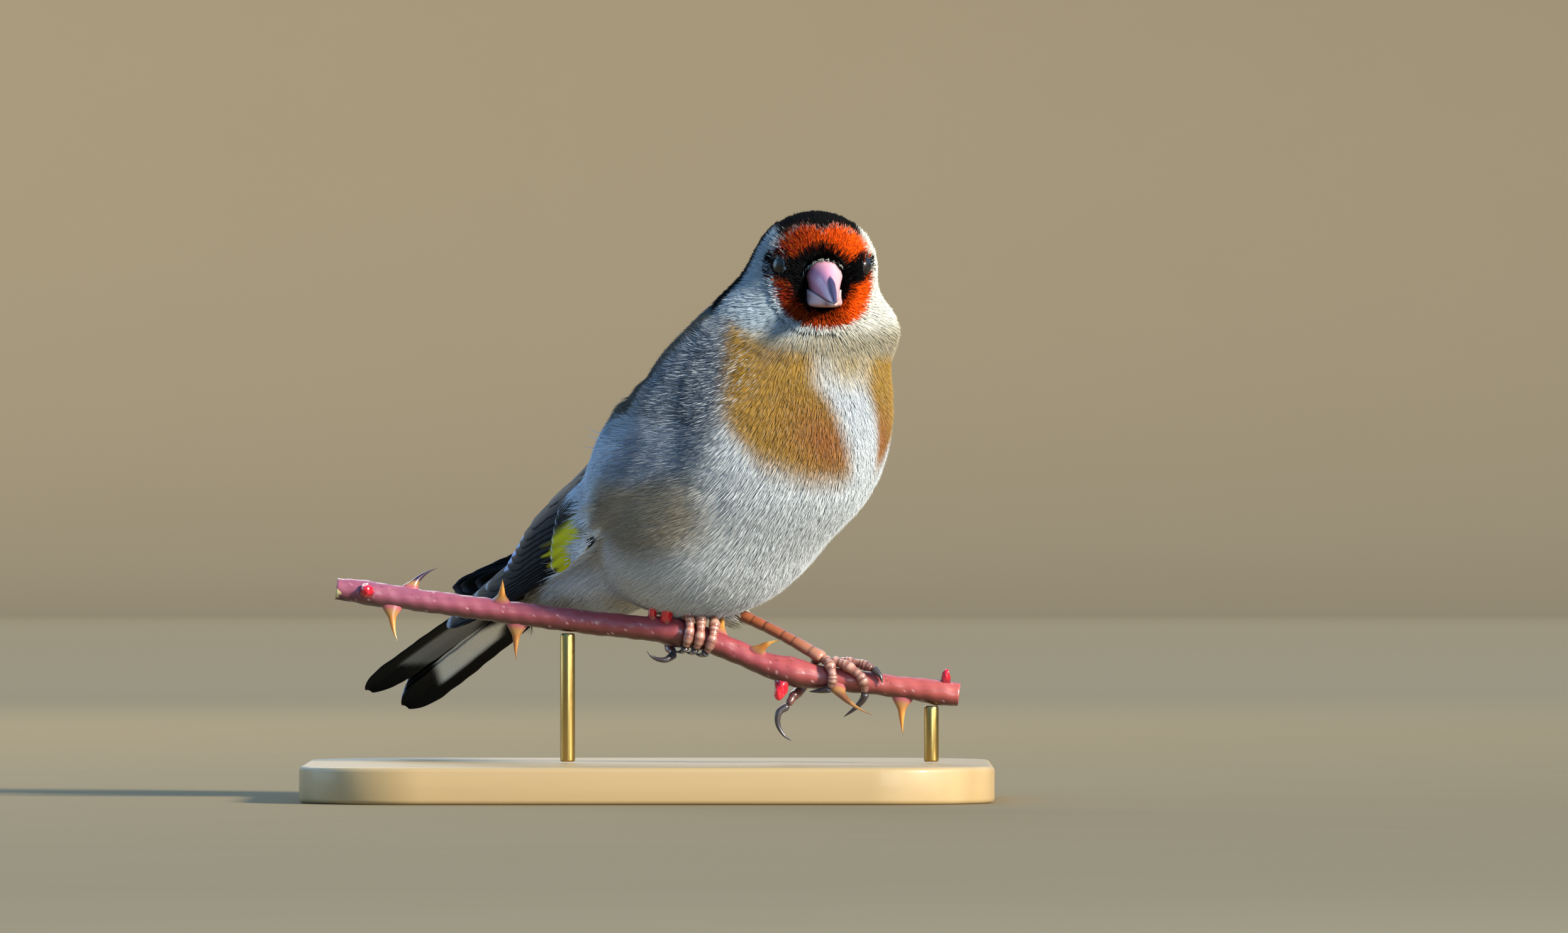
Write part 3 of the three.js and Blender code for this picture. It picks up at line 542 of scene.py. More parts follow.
@dataclass(frozen=True)
class Markings:
    """The goldfinch's colours, for skin and coat alike.

    Attributes:
        belly, mantle, rump, tan, rust, fluff, throat, black: sRGB codes of its plain colours; the blue tint
        of the white belly and fluff is painted bluish skylight.
        patches: Patches of the body, each over the ones before it.
        mask: Half width, half height and middle height of the red mask.
        bib: The same of the black round the bill.
        mask_from: How far forward in the head the mask starts.
        crown_half: Half width of the black crown.
        nape_band: Where the black band behind the cheeks starts and ends, forward in the head.
        twist: How far the turned neck brings that band forward on the right side.
        collar_left: Places across the head of points on the collar line.
        collar_up: Their heights.
        fringe_up: Heights of points on the line where the flank's feathers end before the wing.
        fringe_ahead: How far forward they are in the bird.
    """

    # Painted bluish skylight: the white belly is tinted blue.
    belly: str = "eaf1fb"
    mantle: str = "6f675f"
    rump: str = "cfc8ba"
    tan: str = "b6881a"
    rust: str = "a86300"
    # Painted bluish skylight: the white fluff is tinted blue.
    fluff: str = "cddcf4"
    throat: str = "c2a766"
    black: str = "08070a"
    patches: tuple[Patch, ...] = (
        Patch("a3906c", (10.5, 48), (12, 7.5), 18, 0.8, streak=0.35),
        Patch("6f7d94", (19, 65), (15, 9), 58, 0.97, (10, 13), 1.0),
        # A pale blue patch: white feathers painted with bluish shade.
        Patch("a3b5d6", (12, 56.5), (12, 4.5), 12, 0.8, (11, 14), 0.8),
        # Painted shade under the wing: the white vent is painted olive grey there.
        Patch("8d8670", (-24, 34), (11, 6), 30, 0.9, (0, 0.1), 0.3),
    )
    mask: tuple[float, float, float] = (7.1, 7.4, 0.45)
    bib: tuple[float, float, float] = (4.9, 5.4, 0.3)
    mask_from: float = 1.4
    crown_half: float = 5.8
    nape_band: tuple[float, float] = (-9.0, -4.6)
    twist: float = 3.5
    collar_left: tuple[float, ...] = (-13.5, -11.2, -7.4, 1.5, 12.9)
    collar_up: tuple[float, ...] = (78.0, 75.4, 73.9, 72.3, 73.3)
    fringe_up: tuple[float, ...] = (38, 45, 52, 59.5, 62, 68.6, 75, 80)
    fringe_ahead: tuple[float, ...] = (-14, -11, -5, 4, 9, 13, 18.5, 22)

    def mask_share(self, places: Array) -> Array:
        """Distance from the red mask's middle at places in the head's axes, 1 at its border."""
        wide, high, up = self.mask
        dip = 0.6 * np.exp(-((places[:, 1] / 1.2) ** 2)) * (places[:, 2] > 0)
        across, rise = np.abs(places[:, 1] / wide), np.abs((places[:, 2] + dip - up) / high)
        return (across**2.7 + rise**2.7) ** (1 / 2.7)

    def past_fringe(self, places: Array) -> Array:
        """How far in front of the flank's hind fringe places in the bird's axes are."""
        return places[:, 0] - np.interp(places[:, 2], self.fringe_up, self.fringe_ahead)

    def headness(self, points: Array) -> Array:
        """1 on the head, 0 on the body, and a smooth change over the neck."""
        return 1 - ease(13, 18, np.linalg.norm(HEAD.into(points) * [1, 1, 0.95], axis=1))

    def faceness(self, points: Array) -> Array:
        """1 in the mask and round the bill, 0 elsewhere."""
        places = HEAD.into(points)
        return (1 - ease(0.95, 1.15, self.mask_share(places))) * ease(0.4, 2.0, places[:, 0])

    def read(self, points: Array) -> Marks:
        """The plumage's look at some places.

        Args:
            points: Places in the part's frame.

        Returns:
            Its marks.
        """
        body, head = self._body(BIRD.into(points)), self._head(HEAD.into(points))
        collar = np.interp(HEAD.into(points)[:, 1], self.collar_left, self.collar_up)
        on_head = ease(-1.0, 0.8, points[:, 2] - collar) * (self.headness(points) > 0)
        return Marks(
            mix(body.colour, head.colour, on_head),
            body.streak * (1 - on_head) + head.streak * on_head,
            head.spark * on_head,
        )

    def _body(self, places: Array) -> Marks:
        """The marks of the body at places in the bird's axes.

        Args:
            places: Rows of forward, left and up.

        Returns:
            The marks.
        """
        ahead, left, up = places.T
        colour = rgb(self.belly)
        streak = np.full(len(places), 0.08)
        for patch in self.patches:
            share = patch.weight(places)
            colour = mix(colour, rgb(patch.colour), share)
            streak = streak * (1 - share) + patch.streak * share
        past = self.past_fringe(places)
        fluff = ease(-10, -7, past) * ease(9, 5, past) * ease(63, 59, up) * ease(31, 37, up)
        fluff = fluff * ease(7, 10, np.abs(left))
        streak = streak * (1 - fluff) + 0.5 * fluff
        ring = round_breast(ahead, left)
        middle = np.interp(up, (54, 60.5, 68.6), (6.0, 2.6, -1.0))
        beside = np.abs(left - middle)
        tan = ease(2.2, 6.2, beside) * (1 - ease(55, 69, ring))
        low = np.interp(ring, (20, 45, 62), (52.5, 55, 61))
        tan = tan * ease(low - 2, low + 3.5, up)
        rust = np.exp(-(((beside - 7.5) / 5) ** 2) - ((up - 59) / 5) ** 2)
        colour = mix(layered(colour, (self.fluff, fluff)), layered(self.tan, (self.rust, rust)), tan * 0.95)
        throat = (1 - ease(0, 26, ring)) * ease(66, 72, up)
        streak = np.maximum(streak, np.maximum(tan, throat) * 0.12)
        back = ease(-2.5, 3.5, up - spine_height(ahead) - 2) * (1 - ease(26, 32, ahead) * (up < 70))
        back = back * (1 - ease(9, 13, np.abs(left)) * ease(-1.5, 0.5, past + 7.5 * ease(63, 58, up)))
        colour = layered(
            colour,
            (self.throat, throat * 0.85),
            (self.mantle, back),
            (self.rump, back * (1 - ease(-19, -12, ahead))),
        )
        return Marks(colour, streak * (1 - back * 0.6), np.zeros(len(places)))

    def _head(self, places: Array) -> Marks:
        """The marks of the head at places in its axes.

        Args:
            places: Rows of forward, left and up.

        Returns:
            The marks.
        """
        ahead, left, up = places.T
        turn = self.twist * ease(3, -6, left)
        near, far = self.nape_band[0] + turn, self.nape_band[1] + turn - 0.1 * up
        top = (np.abs(left) < self.crown_half + 0.25 * np.maximum(2 - ahead, 0)) * (up > 2)
        crown = ease(-0.6, 0.4, self.crown_half - np.abs(left) + 0.1 * (2 - ahead)) * (up > 2)
        crown = crown * np.maximum(ease(2.6, 1.6, ahead), ease(0.96, 1.02, self.mask_share(places)))
        nape = 1 - ease(near - 1.5, near, ahead + top)
        band = ease(near - 1, near + 0.4, ahead) * ease(far + 0.5, far - 0.5, ahead) * ease(-9, -6, up)
        mask = ease(1.05, 0.95, self.mask_share(places)) * ease(-0.7, 0.5, ahead - self.mask_from)
        # The red mask is painted orange on the lit left side and dark red on the shaded right side, with
        # painted shade under the chin.
        red = layered(
            "5e0600",
            ("f04e02", ease(-6, 6, left)),
            ("5a1202", ease(-3.5, -5.5, up) * ease(5, 2, left) * 0.7),
        )
        wide, high, rise = self.bib
        bib = ease(1.08, 0.95, np.hypot((left + 0.4) / wide, (up - rise) / high))
        lores = ease(2.3, 1.6, np.abs(up - 0.3 - 0.33 * np.abs(left))) * ease(6.9, 6.1, np.abs(left))
        dark = np.maximum(bib, lores) * ease(2.2, 3.2, ahead)
        # The white cheeks are painted bluish on the shaded right side and cream on the lit left side.
        cheek = layered(
            "b9cbdd",
            ("fffdf2", ease(-8, 5, left)),
            ("a8997a", ease(-6.5, -9.5, up) * 0.85),
            ("8a7a6c", ease(-10.5, -12.5, left) * ease(-5, -9, up) * 0.5),
            ("857a6c", nape),
        )
        colour = layered(mix(cheek, red, mask), (self.black, np.maximum(crown, band)), (self.black, dark))
        white = 1 - np.maximum.reduce([crown, band, mask, dark, nape])
        return Marks(colour, 0.15 * white, mask * (1 - dark))


MARKINGS = Markings()


def coat_depth(points: Array) -> Array:
    """How deep the coat is at some places, in millimetres."""
    head, face = MARKINGS.headness(points), MARKINGS.faceness(points)
    return (1.7 - 0.95 * head) * (1 - face) + 0.5 * face


# Skin


def merged_node(name: str) -> bmesh.types.BMesh:
    """A copy of a CAD node with its loose triangles joined.

    Args:
        name: The node.

    Returns:
        The copy, in metres.
    """
    bm = bmesh.new()
    bm.from_mesh(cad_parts[name].data)
    weld(bm, 1e-6)
    bmesh.ops.recalc_face_normals(bm, faces=bm.faces)
    return bm


@dataclass
class Skin:
    """One closed skin under the whole coat.

    Attributes:
        flesh: The CAD nodes that it stands for.
        voxel: Size of the cells that it is joined by.
        grow: How far the nodes are grown first, so that their gaps close.
        wing_front: How much of each folded wing lies under the coat.
        rounds: How often it is smoothed before and after it is drawn in.
        cover_rounds: How many of the first of them shape the cover too.
        albedo: How much of its colour's light it gives back.
        mesh: The skin.
        cover: The surface that the coat fills up to.
    """

    flesh: tuple[str, ...] = ("head", "neck", "torso")
    voxel: float = 0.75
    grow: float = 0.36
    wing_front: float = 33.0
    rounds: tuple[int, int] = (8, 4)
    cover_rounds: int = 2
    albedo: float = 0.7
    mesh: bpy.types.Mesh = field(init=False)
    cover: bpy.types.Mesh = field(init=False)

    def build(self, wings: Sequence["WingSheet"]) -> None:
        """Joins the grown nodes, smooths them and draws them in by the coat's depth.

        Args:
            wings: The two folded wings.
        """
        whole = bmesh.new()
        for name in self.flesh:
            self._add_grown(whole, merged_node(name))
        for wing in wings:
            front = merged_node(wing.node)
            bmesh.ops.bisect_plane(
                front,
                geom=[*front.verts, *front.edges, *front.faces],
                plane_co=Vector(wing.wrist + wing.along * self.wing_front) * MM,
                plane_no=Vector(wing.along),
                clear_outer=True,
            )
            bmesh.ops.holes_fill(front, edges=front.edges)
            self._add_grown(whole, front)
        self.mesh = self._joined(mesh_from(whole, "skin_rough"))
        bm = bmesh.new()
        bm.from_mesh(self.mesh)
        self._smooth(bm, self.cover_rounds)
        self.cover = bpy.data.meshes.new("cover")
        bm.to_mesh(self.cover)
        self._smooth(bm, self.rounds[0] - self.cover_rounds)
        places = np.array([v.co for v in bm.verts]) / MM
        for vert, depth in zip(bm.verts, coat_depth(places) + self.grow):
            vert.co -= vert.normal * depth * MM
        self._smooth(bm, self.rounds[1])
        for face in bm.faces:
            face.smooth = True
        bm.to_mesh(self.mesh)
        bm.free()
        colours = MARKINGS.read(points_of(self.mesh)).colour * self.albedo
        place_piece(self.mesh, colours, SKIN, "plumage_body", *self.flesh)

    def _add_grown(self, whole: bmesh.types.BMesh, part: bmesh.types.BMesh) -> None:
        """Moves a part out along its normals and adds it to the whole.

        Args:
            whole: The mesh that it joins.
            part: The part, which is freed.
        """
        part.normal_update()
        for vert in part.verts:
            vert.co += vert.normal * self.grow * MM
        mesh = mesh_from(part, "part")
        whole.from_mesh(mesh)
        bpy.data.meshes.remove(mesh)

    def _joined(self, rough: bpy.types.Mesh) -> bpy.types.Mesh:
        """The voxel remesh of several overlapping bodies.

        Args:
            rough: Their mesh.

        Returns:
            One closed mesh.
        """
        helper = add_object("helper", rough)
        remesh = helper.modifiers.new("join", "REMESH")
        remesh.mode = "VOXEL"
        remesh.voxel_size = self.voxel * MM
        graph = bpy.context.evaluated_depsgraph_get()
        joined = bpy.data.meshes.new_from_object(helper.evaluated_get(graph))
        bpy.data.objects.remove(helper)
        joined.name = "skin"
        return joined

    def _smooth(self, bm: bmesh.types.BMesh, rounds: int) -> None:
        """Smooths all vertices so many times."""
        for _ in range(rounds):
            bmesh.ops.smooth_vert(
                bm, verts=bm.verts, factor=0.5, use_axis_x=True, use_axis_y=True, use_axis_z=True
            )
        bm.normal_update()


# Flight feathers


class Sheet(Protocol):
    """A surface that feathers are laid on."""

    def place(self, u: Array, v: Array, lift: Array) -> Array:
        """Places u along it, v across it and so far over it."""
        ...


@dataclass
class WingSheet:
    """The surface of a folded wing, wrapped round the body's side.

    Attributes:
        side: -1 for the right wing, 1 for the left one.
        wrist: Its front end, in the part's frame.
        tip: Its hind end.
        roll: The radius that it is bent to across its feathers.
        bow: How fast it falls away from a straight line towards the wrist.
        full: How far along it is widest off the body.
        step: Spacing of the grid that the body's surface is read on.
        half: Half the width of that grid.
        melt: How softly the free wing runs into the body's surface.
        along: The way from wrist to tip.
        out: The way off the body.
        back: The way across the wing that goes up.
        far: The body's distance from the middle of the wing's bend, at each place of the grid.
    """

    side: int
    wrist: Array
    tip: Array
    roll: float = 15.0
    bow: float = 0.0018
    full: float = 76.0
    step: float = 2.0
    half: float = 24.0
    melt: float = 2.5
    along: Array = field(init=False)
    out: Array = field(init=False)
    back: Array = field(init=False)
    far: Array = field(init=False)

    def __post_init__(self) -> None:
        """Works out the wing's directions and reads the body under it."""
        self.along = unit(self.tip - self.wrist)
        out = np.array([0, 0.76 * self.side, 0.65]) @ BIRD.rows
        self.out = unit(out - self.along * (out @ self.along))
        back = np.cross(self.out, self.along)
        self.back = back * np.sign(back[2])
        self.far = self._read_body()

    @property
    def node(self) -> str:
        """The CAD node of this wing."""
        return "wing_left" if self.side > 0 else "wing_right"

    def _ways(self, v: Array) -> Array:
        """The way out of the wing's bend at v across it."""
        turn = v[..., None] / self.roll
        return np.cos(turn) * self.out + np.sin(turn) * self.back

    def _middle(self, u: Array) -> Array:
        """The middle of the wing's bend at u along it."""
        return self.wrist + u[..., None] * self.along - self.roll * self.out

    def _blade(self, u: Array) -> Array:
        """How far from that middle the free wing lies."""
        return self.roll - self.bow * np.minimum(u - self.full, 0) ** 2

    def _read_body(self) -> Array:
        """The body's distance from the middle of the bend, over a grid of u and v.

        Returns:
            The smoothed distances, in millimetres.
        """
        body = tree_of(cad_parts["torso"].data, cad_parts["neck"].data)
        outside = self.roll + 14
        across = np.arange(-self.half, self.half + 1, self.step)
        us, vs = np.meshgrid(np.arange(0, 90, self.step), across, indexing="ij")
        starts = self._middle(us) + outside * self._ways(vs)
        far = self._blade(us) - 4
        for index in np.ndindex(us.shape):
            way = Vector(-self._ways(vs[index]))
            hit = body.ray_cast(Vector(starts[index]) * MM, way, outside * MM)
            if hit[3] is not None:
                far[index] = max(far[index], outside - hit[3] / MM)
        for _ in range(2):
            wide = np.pad(far, 1, mode="edge")
            far = (wide[:-2, 1:-1] + wide[2:, 1:-1] + wide[1:-1, :-2] + wide[1:-1, 2:]) / 8 + far / 2
        return far

    def place(self, u: Array, v: Array, lift: Array) -> Array:
        """Places on the wing.

        Args:
            u: Distances along it from the wrist.
            v: Distances across it, positive towards the back.
            lift: Heights over it.

        Returns:
            The places, in the part's frame.
        """
        rows, columns = self.far.shape
        i = np.clip(u / self.step, 0, rows - 1.001)
        j = np.clip((v + self.half) / self.step, 0, columns - 1.001)
        a, b = i.astype(int), j.astype(int)
        s, t = i - a, j - b
        near = self.far[a, b] * (1 - t) + self.far[a, b + 1] * t
        beyond = self.far[a + 1, b] * (1 - t) + self.far[a + 1, b + 1] * t
        body, blade = near * (1 - s) + beyond * s, self._blade(u)
        melt = np.maximum(self.melt - np.abs(body - blade), 0) / self.melt
        reach = np.maximum(body, blade) + melt**2 * self.melt / 4
        return self._middle(u) + self._ways(v) * (reach + lift)[..., None]


@dataclass(frozen=True)
class TailSheet:
    """The nearly flat surface of the tail, left side down."""

    axes: Axes
    bend: float = 90.0

    def place(self, u: Array, v: Array, lift: Array) -> Array:
        """Places u back along the tail, v across it and so far over it."""
        return self.axes.out(np.stack([-u, v, lift - v**2 / self.bend], axis=-1))


@dataclass(frozen=True)
class Vane:
    """One flight feather on its sheet.

    Attributes:
        root: Its quill's root, along and across the sheet.
        tip: Its tip.
        half: Half its width.
        lift: Its height over the sheet.
        bow: How far its middle bends across.
        shade: A number of its own, for what varies from feather to feather.
    """

    root: tuple[float, float]
    tip: tuple[float, float]
    half: float
    lift: float
    bow: float
    shade: float


@dataclass
class FeatherSet:
    """Feathers on one sheet, made as thin vanes with a raised shaft.

    Attributes:
        sheet: What they lie on.
        painter: Gives colours from along, across, the share along and across the vane, and its shade.
        columns: Places across a vane, close together at its shaft.
        rows: Steps along it.
        thick: Its thickness.
        sink: Where the vanes dive under the coat and where they are clear of it, along the sheet.
    """

    sheet: Sheet
    painter: Callable[..., Array]
    columns: tuple[float, ...] = (
        -1, -0.88, -0.74, -0.58, -0.36, -0.14, -0.05, 0, 0.05, 0.14, 0.4, 0.7, 0.88, 1
    )
    rows: int = 40
    thick: float = 0.14
    sink: tuple[float, float, float] = (0.0, 1.0, 0.0)

    def build(self, name: str, vanes: Sequence[Vane], slot: str, node: str) -> bpy.types.Object:
        """Builds all the vanes as one piece, with a UV map along and across each vane.

        Args:
            name: The piece's name.
            vanes: The feathers.
            slot: The record's material slot.
            node: The CAD node that they stand for.

        Returns:
            The piece.
        """
        bm = bmesh.new()
        layers = [bm.verts.layers.float.new(key) for key in ("u", "v", "t", "w", "shade")]
        for vane in vanes:
            self._add(bm, vane, layers)
        weld(bm)
        values = np.array([[vert[layer] for layer in layers] for vert in bm.verts])
        uv = bm.loops.layers.uv.new("Vane")
        for face in bm.faces:
            for loop in face.loops:
                t, w = loop.vert[layers[2]], loop.vert[layers[3]]
                loop[uv].uv = (t + 0.16 * abs(w), 0.2 * w)
        bmesh.ops.recalc_face_normals(bm, faces=bm.faces)
        return place_piece(mesh_from(bm, name), self.painter(*values.T), VANE, slot, node)

    def _add(self, bm: bmesh.types.BMesh, vane: Vane, layers: list) -> None:
        """Adds one vane: a grid laid on the sheet and given its thickness.

        Args:
            bm: The mesh that it joins.
            vane: The feather.
            layers: Where its own coordinates are kept.
        """
        across = len(self.columns) - 1
        verts = bmesh.ops.create_grid(bm, x_segments=self.rows, y_segments=across, size=1)["verts"]
        flat = np.array([v.co[:2] for v in verts])
        flat = (flat - flat.min(0)) / (flat.max(0) - flat.min(0))
        t = 1 - (1 - flat[:, 0]) ** 1.25
        w = np.interp(flat[:, 1] * across, range(across + 1), self.columns)
        u = vane.root[0] + (vane.tip[0] - vane.root[0]) * t
        v = vane.root[1] + (vane.tip[1] - vane.root[1]) * t + vane.bow * np.sin(np.pi * t)
        round_tip = np.sqrt(np.maximum(1 - (np.maximum(t - 0.84, 0) / 0.165) ** 2, 0))
        width = vane.half * (0.5 + 0.5 * ease(0, 0.3, t)) * round_tip
        frayed = 1 + 0.035 * np.sin(t * 47 + vane.shade * 9) * np.sin(t * 19 + vane.shade * 5)
        start, end, depth = self.sink
        lift = vane.lift + 0.22 * (1 - w**2) - depth * (1 - ease(start, end, u))
        shaft = 0.1 * np.exp(-((w / 0.06) ** 2)) * (1 - ease(0.8, 1, t))
        places = self.sheet.place(u, v + w * width * frayed, lift + shaft)
        for vert, place, *own in zip(verts, places * MM, u, v + w * width, t, w):
            vert.co = place
            for layer, value in zip(layers, (*own, vane.shade)):
                vert[layer] = value
        faces = list({face for vert in verts for face in vert.link_faces})
        bmesh.ops.recalc_face_normals(bm, faces=faces)
        bmesh.ops.solidify(bm, geom=faces, thickness=self.thick * MM)


@dataclass(frozen=True)
class WingRow:
    """A row of a wing's feathers, from its lowest to its top one.

    Attributes:
        tips: Where their tips lie along the wing.
        half: Half their width.
        root: The first quill's root, along and across.
        tip: How far across the first tip lies.
        fan: How much further across each next root and tip lies.
        bow: How far they bend across.
    """

    tips: tuple[float, ...]
    half: float
    root: tuple[float, float]
    tip: float
    fan: tuple[float, float]
    bow: float = 0.0


@dataclass
class Wing:
    """A folded wing: black flight feathers with a yellow bar and white tips.

    Attributes:
        sheet: The surface that it lies on.
        rows: Its rows of feathers.
        tier: How much each feather lies over the one before it.
        bar: Where the yellow bar starts and ends along the wing.
        bar_top: How far across the bar reaches towards the back.
        finger: Width of the bar's fingers.
        notch: How deep the black goes between them.
    """

    sheet: WingSheet
    rows: tuple[WingRow, ...] = (
        WingRow((71.5, 74.5, 76, 75.5, 73, 70, 66.5, 63), 2.1, (22, -5.4), -2.9, (0.34, 0.2), -0.8),
        WingRow((57, 55.6, 54.2, 52.8, 51.4, 50), 2.5, (24, -3.2), -1.4, (0.72, 0.62)),
        WingRow((48.5, 44, 38.5), 3.3, (24, 2), 3.2, (1.7, 1.9), 0.6),
        WingRow((41, 40.4, 39.8, 39.0, 38.2, 37.4, 36.6), 1.6, (24, -6.4), -7.2, (1.0, 1.05)),
    )
    tier: float = 0.17
    bar: tuple[float, float] = (30.0, 45.0)
    bar_top: float = -3.4
    finger: float = 1.45
    notch: float = 5.0

    def build(self) -> bpy.types.Object:
        """Makes the wing's feathers.

        Returns:
            The piece.
        """
        vanes: list[Vane] = []
        lift = 0.5
        for row in self.rows:
            for i, end in enumerate(row.tips):
                root = (row.root[0], row.root[1] + i * row.fan[0])
                tip = (end, row.tip + i * row.fan[1])
                vanes.append(Vane(root, tip, row.half, lift, row.bow, len(vanes) * 0.37))
                lift += self.tier * (1.0 if row is not self.rows[-1] else 0.3)
        feathers = FeatherSet(self.sheet, self._colours, sink=(25, 34, 2.4))
        return feathers.build(f"{self.sheet.node}_feathers", vanes, "plumage_wing", self.sheet.node)

    def _colours(self, u: Array, v: Array, t: Array, w: Array, shade: Array) -> Array:
        """Colours of the wing's feathers.

        Args:
            u: Places along the wing.
            v: Places across it.
            t: Shares along the feathers.
            w: Shares across them.
            shade: Each feather's own number.

        Returns:
            A linear colour for each.
        """
        start, end = self.bar
        finger = 0.5 + 0.5 * np.cos(2 * math.pi * (v - 0.1 * np.sin(shade)) / self.finger)
        edge = end - self.notch * (1 - finger) - 0.9 * np.sin(v * 1.9) ** 2
        bar = ease(start, start + 2, u) * (1 - ease(edge - 0.6, edge + 0.4, u))
        bar = bar * (1 - ease(self.bar_top - 0.8, self.bar_top + 0.8, v))
        bar = bar * (1 - 0.5 * (1 - finger) * ease(start + 3, end - 3, u))
        black = layered("060608", ("1c2436", 0.3 * ease(0.5, 1, np.abs(w))))
        yellow = layered("c4bc00", ("8c9600", ease(0, 1, w)))
        streak = ease(0.9, 0.95, t + 0.025 * np.abs(w)) * (u > 50) * (u < 58) * ease(-0.4, 0.0, w)
        tip = ease(0.972, 0.99, t) * ((u > 62) | (u < 49))
        return layered(
            mix(black, yellow, bar),
            ("a9bdf0", streak * (0.95 - 0.25 * np.sin(shade * 11) ** 2)),
            ("c9d3ea", tip * (0.5 if self.sheet.side < 0 else 0.1)),
        )


@dataclass
class Tail:
    """The forked tail: twelve black feathers, white inside the outer ones and tipped with white.

    Attributes:
        root: Its root in the bird's axes.
        pitch: Degrees that its root points up, so that it trails down.
        roll: Degrees that its left side is down.
        outer: Length of the outer feathers.
        fork: How much shorter the middle ones are.
        pairs: How many feathers there are on a side.
        half: Half a vane's width.
        tier: How far each pair lies under the one inside it.
    """

    root: tuple[float, float, float] = (-23.5, 0.5, 42)
    pitch: float = 27.8
    roll: float = 24.0
    outer: float = 53.0
    fork: float = 6.5
    pairs: int = 6
    half: float = 2.9
    tier: float = 0.36

    def build(self) -> None:
        """Makes the tail's feathers."""
        sheet = TailSheet(BIRD.pitched(self.root, self.pitch, self.roll))
        vanes = []
        for i in range(self.pairs):
            for side in (-1, 1):
                share = i / (self.pairs - 1)
                root = (4.0, side * (0.6 + 1.2 * share))
                tip = (self.outer - self.fork * (1 - share) ** 1.4, side * (1.6 + 2.2 * share))
                lift = (self.tier / 3 if side > 0 else 0) - i * self.tier
                vanes.append(Vane(root, tip, self.half, lift, side * share * 0.5, side * (i + 1)))
        feathers = FeatherSet(sheet, self._colours, rows=56, thick=0.16)
        feathers.build("tail_feathers", vanes, "plumage_tail", "tail")

    def _colours(self, u: Array, v: Array, t: Array, w: Array, shade: Array) -> Array:
        """Colours of the tail's feathers.

        Args:
            u: Places along the tail.
            v: Places across it.
            t: Shares along the feathers.
            w: Shares across them.
            shade: The feather's number in its half, below 0 on the right side.

        Returns:
            A linear colour for each.
        """
        pair, inner = np.abs(shade), -w * np.sign(shade)
        notch = 0.16 * np.abs(inner - 0.35) * (pair >= 5)
        patch = ease(0.36 + notch, 0.44 + notch, t) * (1 - ease(0.78, 0.83, t + 0.05 * inner))
        patch = patch * (pair >= 5) * ease(-0.3, 0.0, inner + 0.1 * (pair - 5))
        # Painted shade: the white patches on the right-side feathers are painted dim.
        patch = patch * np.where(shade > 0, 0.95, 0.3)
        tip = ease(0.955, 0.985, t + 0.012 * np.abs(w)) * (pair <= 5)
        return layered(
            "08080b",
            ("e0e2e6", patch),
            ("1c1c1e", 0.4 * ease(0.2, 0.7, inner) * (1 - patch) * (t < 0.85)),
            ("b9c9ee", tip * 0.85),
        )


# Rose stem


def smooth_route(points: Sequence[Sequence[float]], count: int) -> Array:
    """Evenly spaced places along a centripetal Catmull-Rom curve through some points.

    Args:
        points: What it goes through.
        count: How many places to return.

    Returns:
        The places.
    """
    p = np.array(points, float)
    p = np.vstack([2 * p[0] - p[1], p, 2 * p[-1] - p[-2]])
    parts = []
    for a, b, c, d in zip(p, p[1:], p[2:], p[3:]):
        ab, bc, cd = (math.sqrt(np.linalg.norm(q - r)) for q, r in ((a, b), (b, c), (c, d)))
        leave = ((b - a) / ab - (c - a) / (ab + bc) + (c - b) / bc) * bc
        arrive = ((c - b) / bc - (d - b) / (bc + cd) + (d - c) / cd) * bc
        t = np.linspace(0, 1, 40, endpoint=False)[:, None]
        curve = b * (2 * t**3 - 3 * t**2 + 1) + leave * (t**3 - 2 * t**2 + t)
        parts.append(curve + c * (3 * t**2 - 2 * t**3) + arrive * (t**3 - t**2))
    dense = np.vstack([*parts, p[-2:-1]])
    far = np.r_[0, np.cumsum(np.linalg.norm(np.diff(dense, axis=0), axis=1))]
    even = np.linspace(0, far[-1], count)
    return np.stack([np.interp(even, far, dense[:, axis]) for axis in range(3)], axis=-1)


@dataclass(frozen=True)
class Thorn:
    """A thorn: where on the stem, its angle from the top towards the viewer, length, lean and darkness."""

    x: float
    turn: float
    length: float
    lean: float
    dark: float = 0.0


@dataclass(frozen=True)
class Bud:
    """A dormant bud: where on the stem, its angle from the top towards the viewer, length and radius."""

    x: float
    turn: float
    length: float
    radius: float


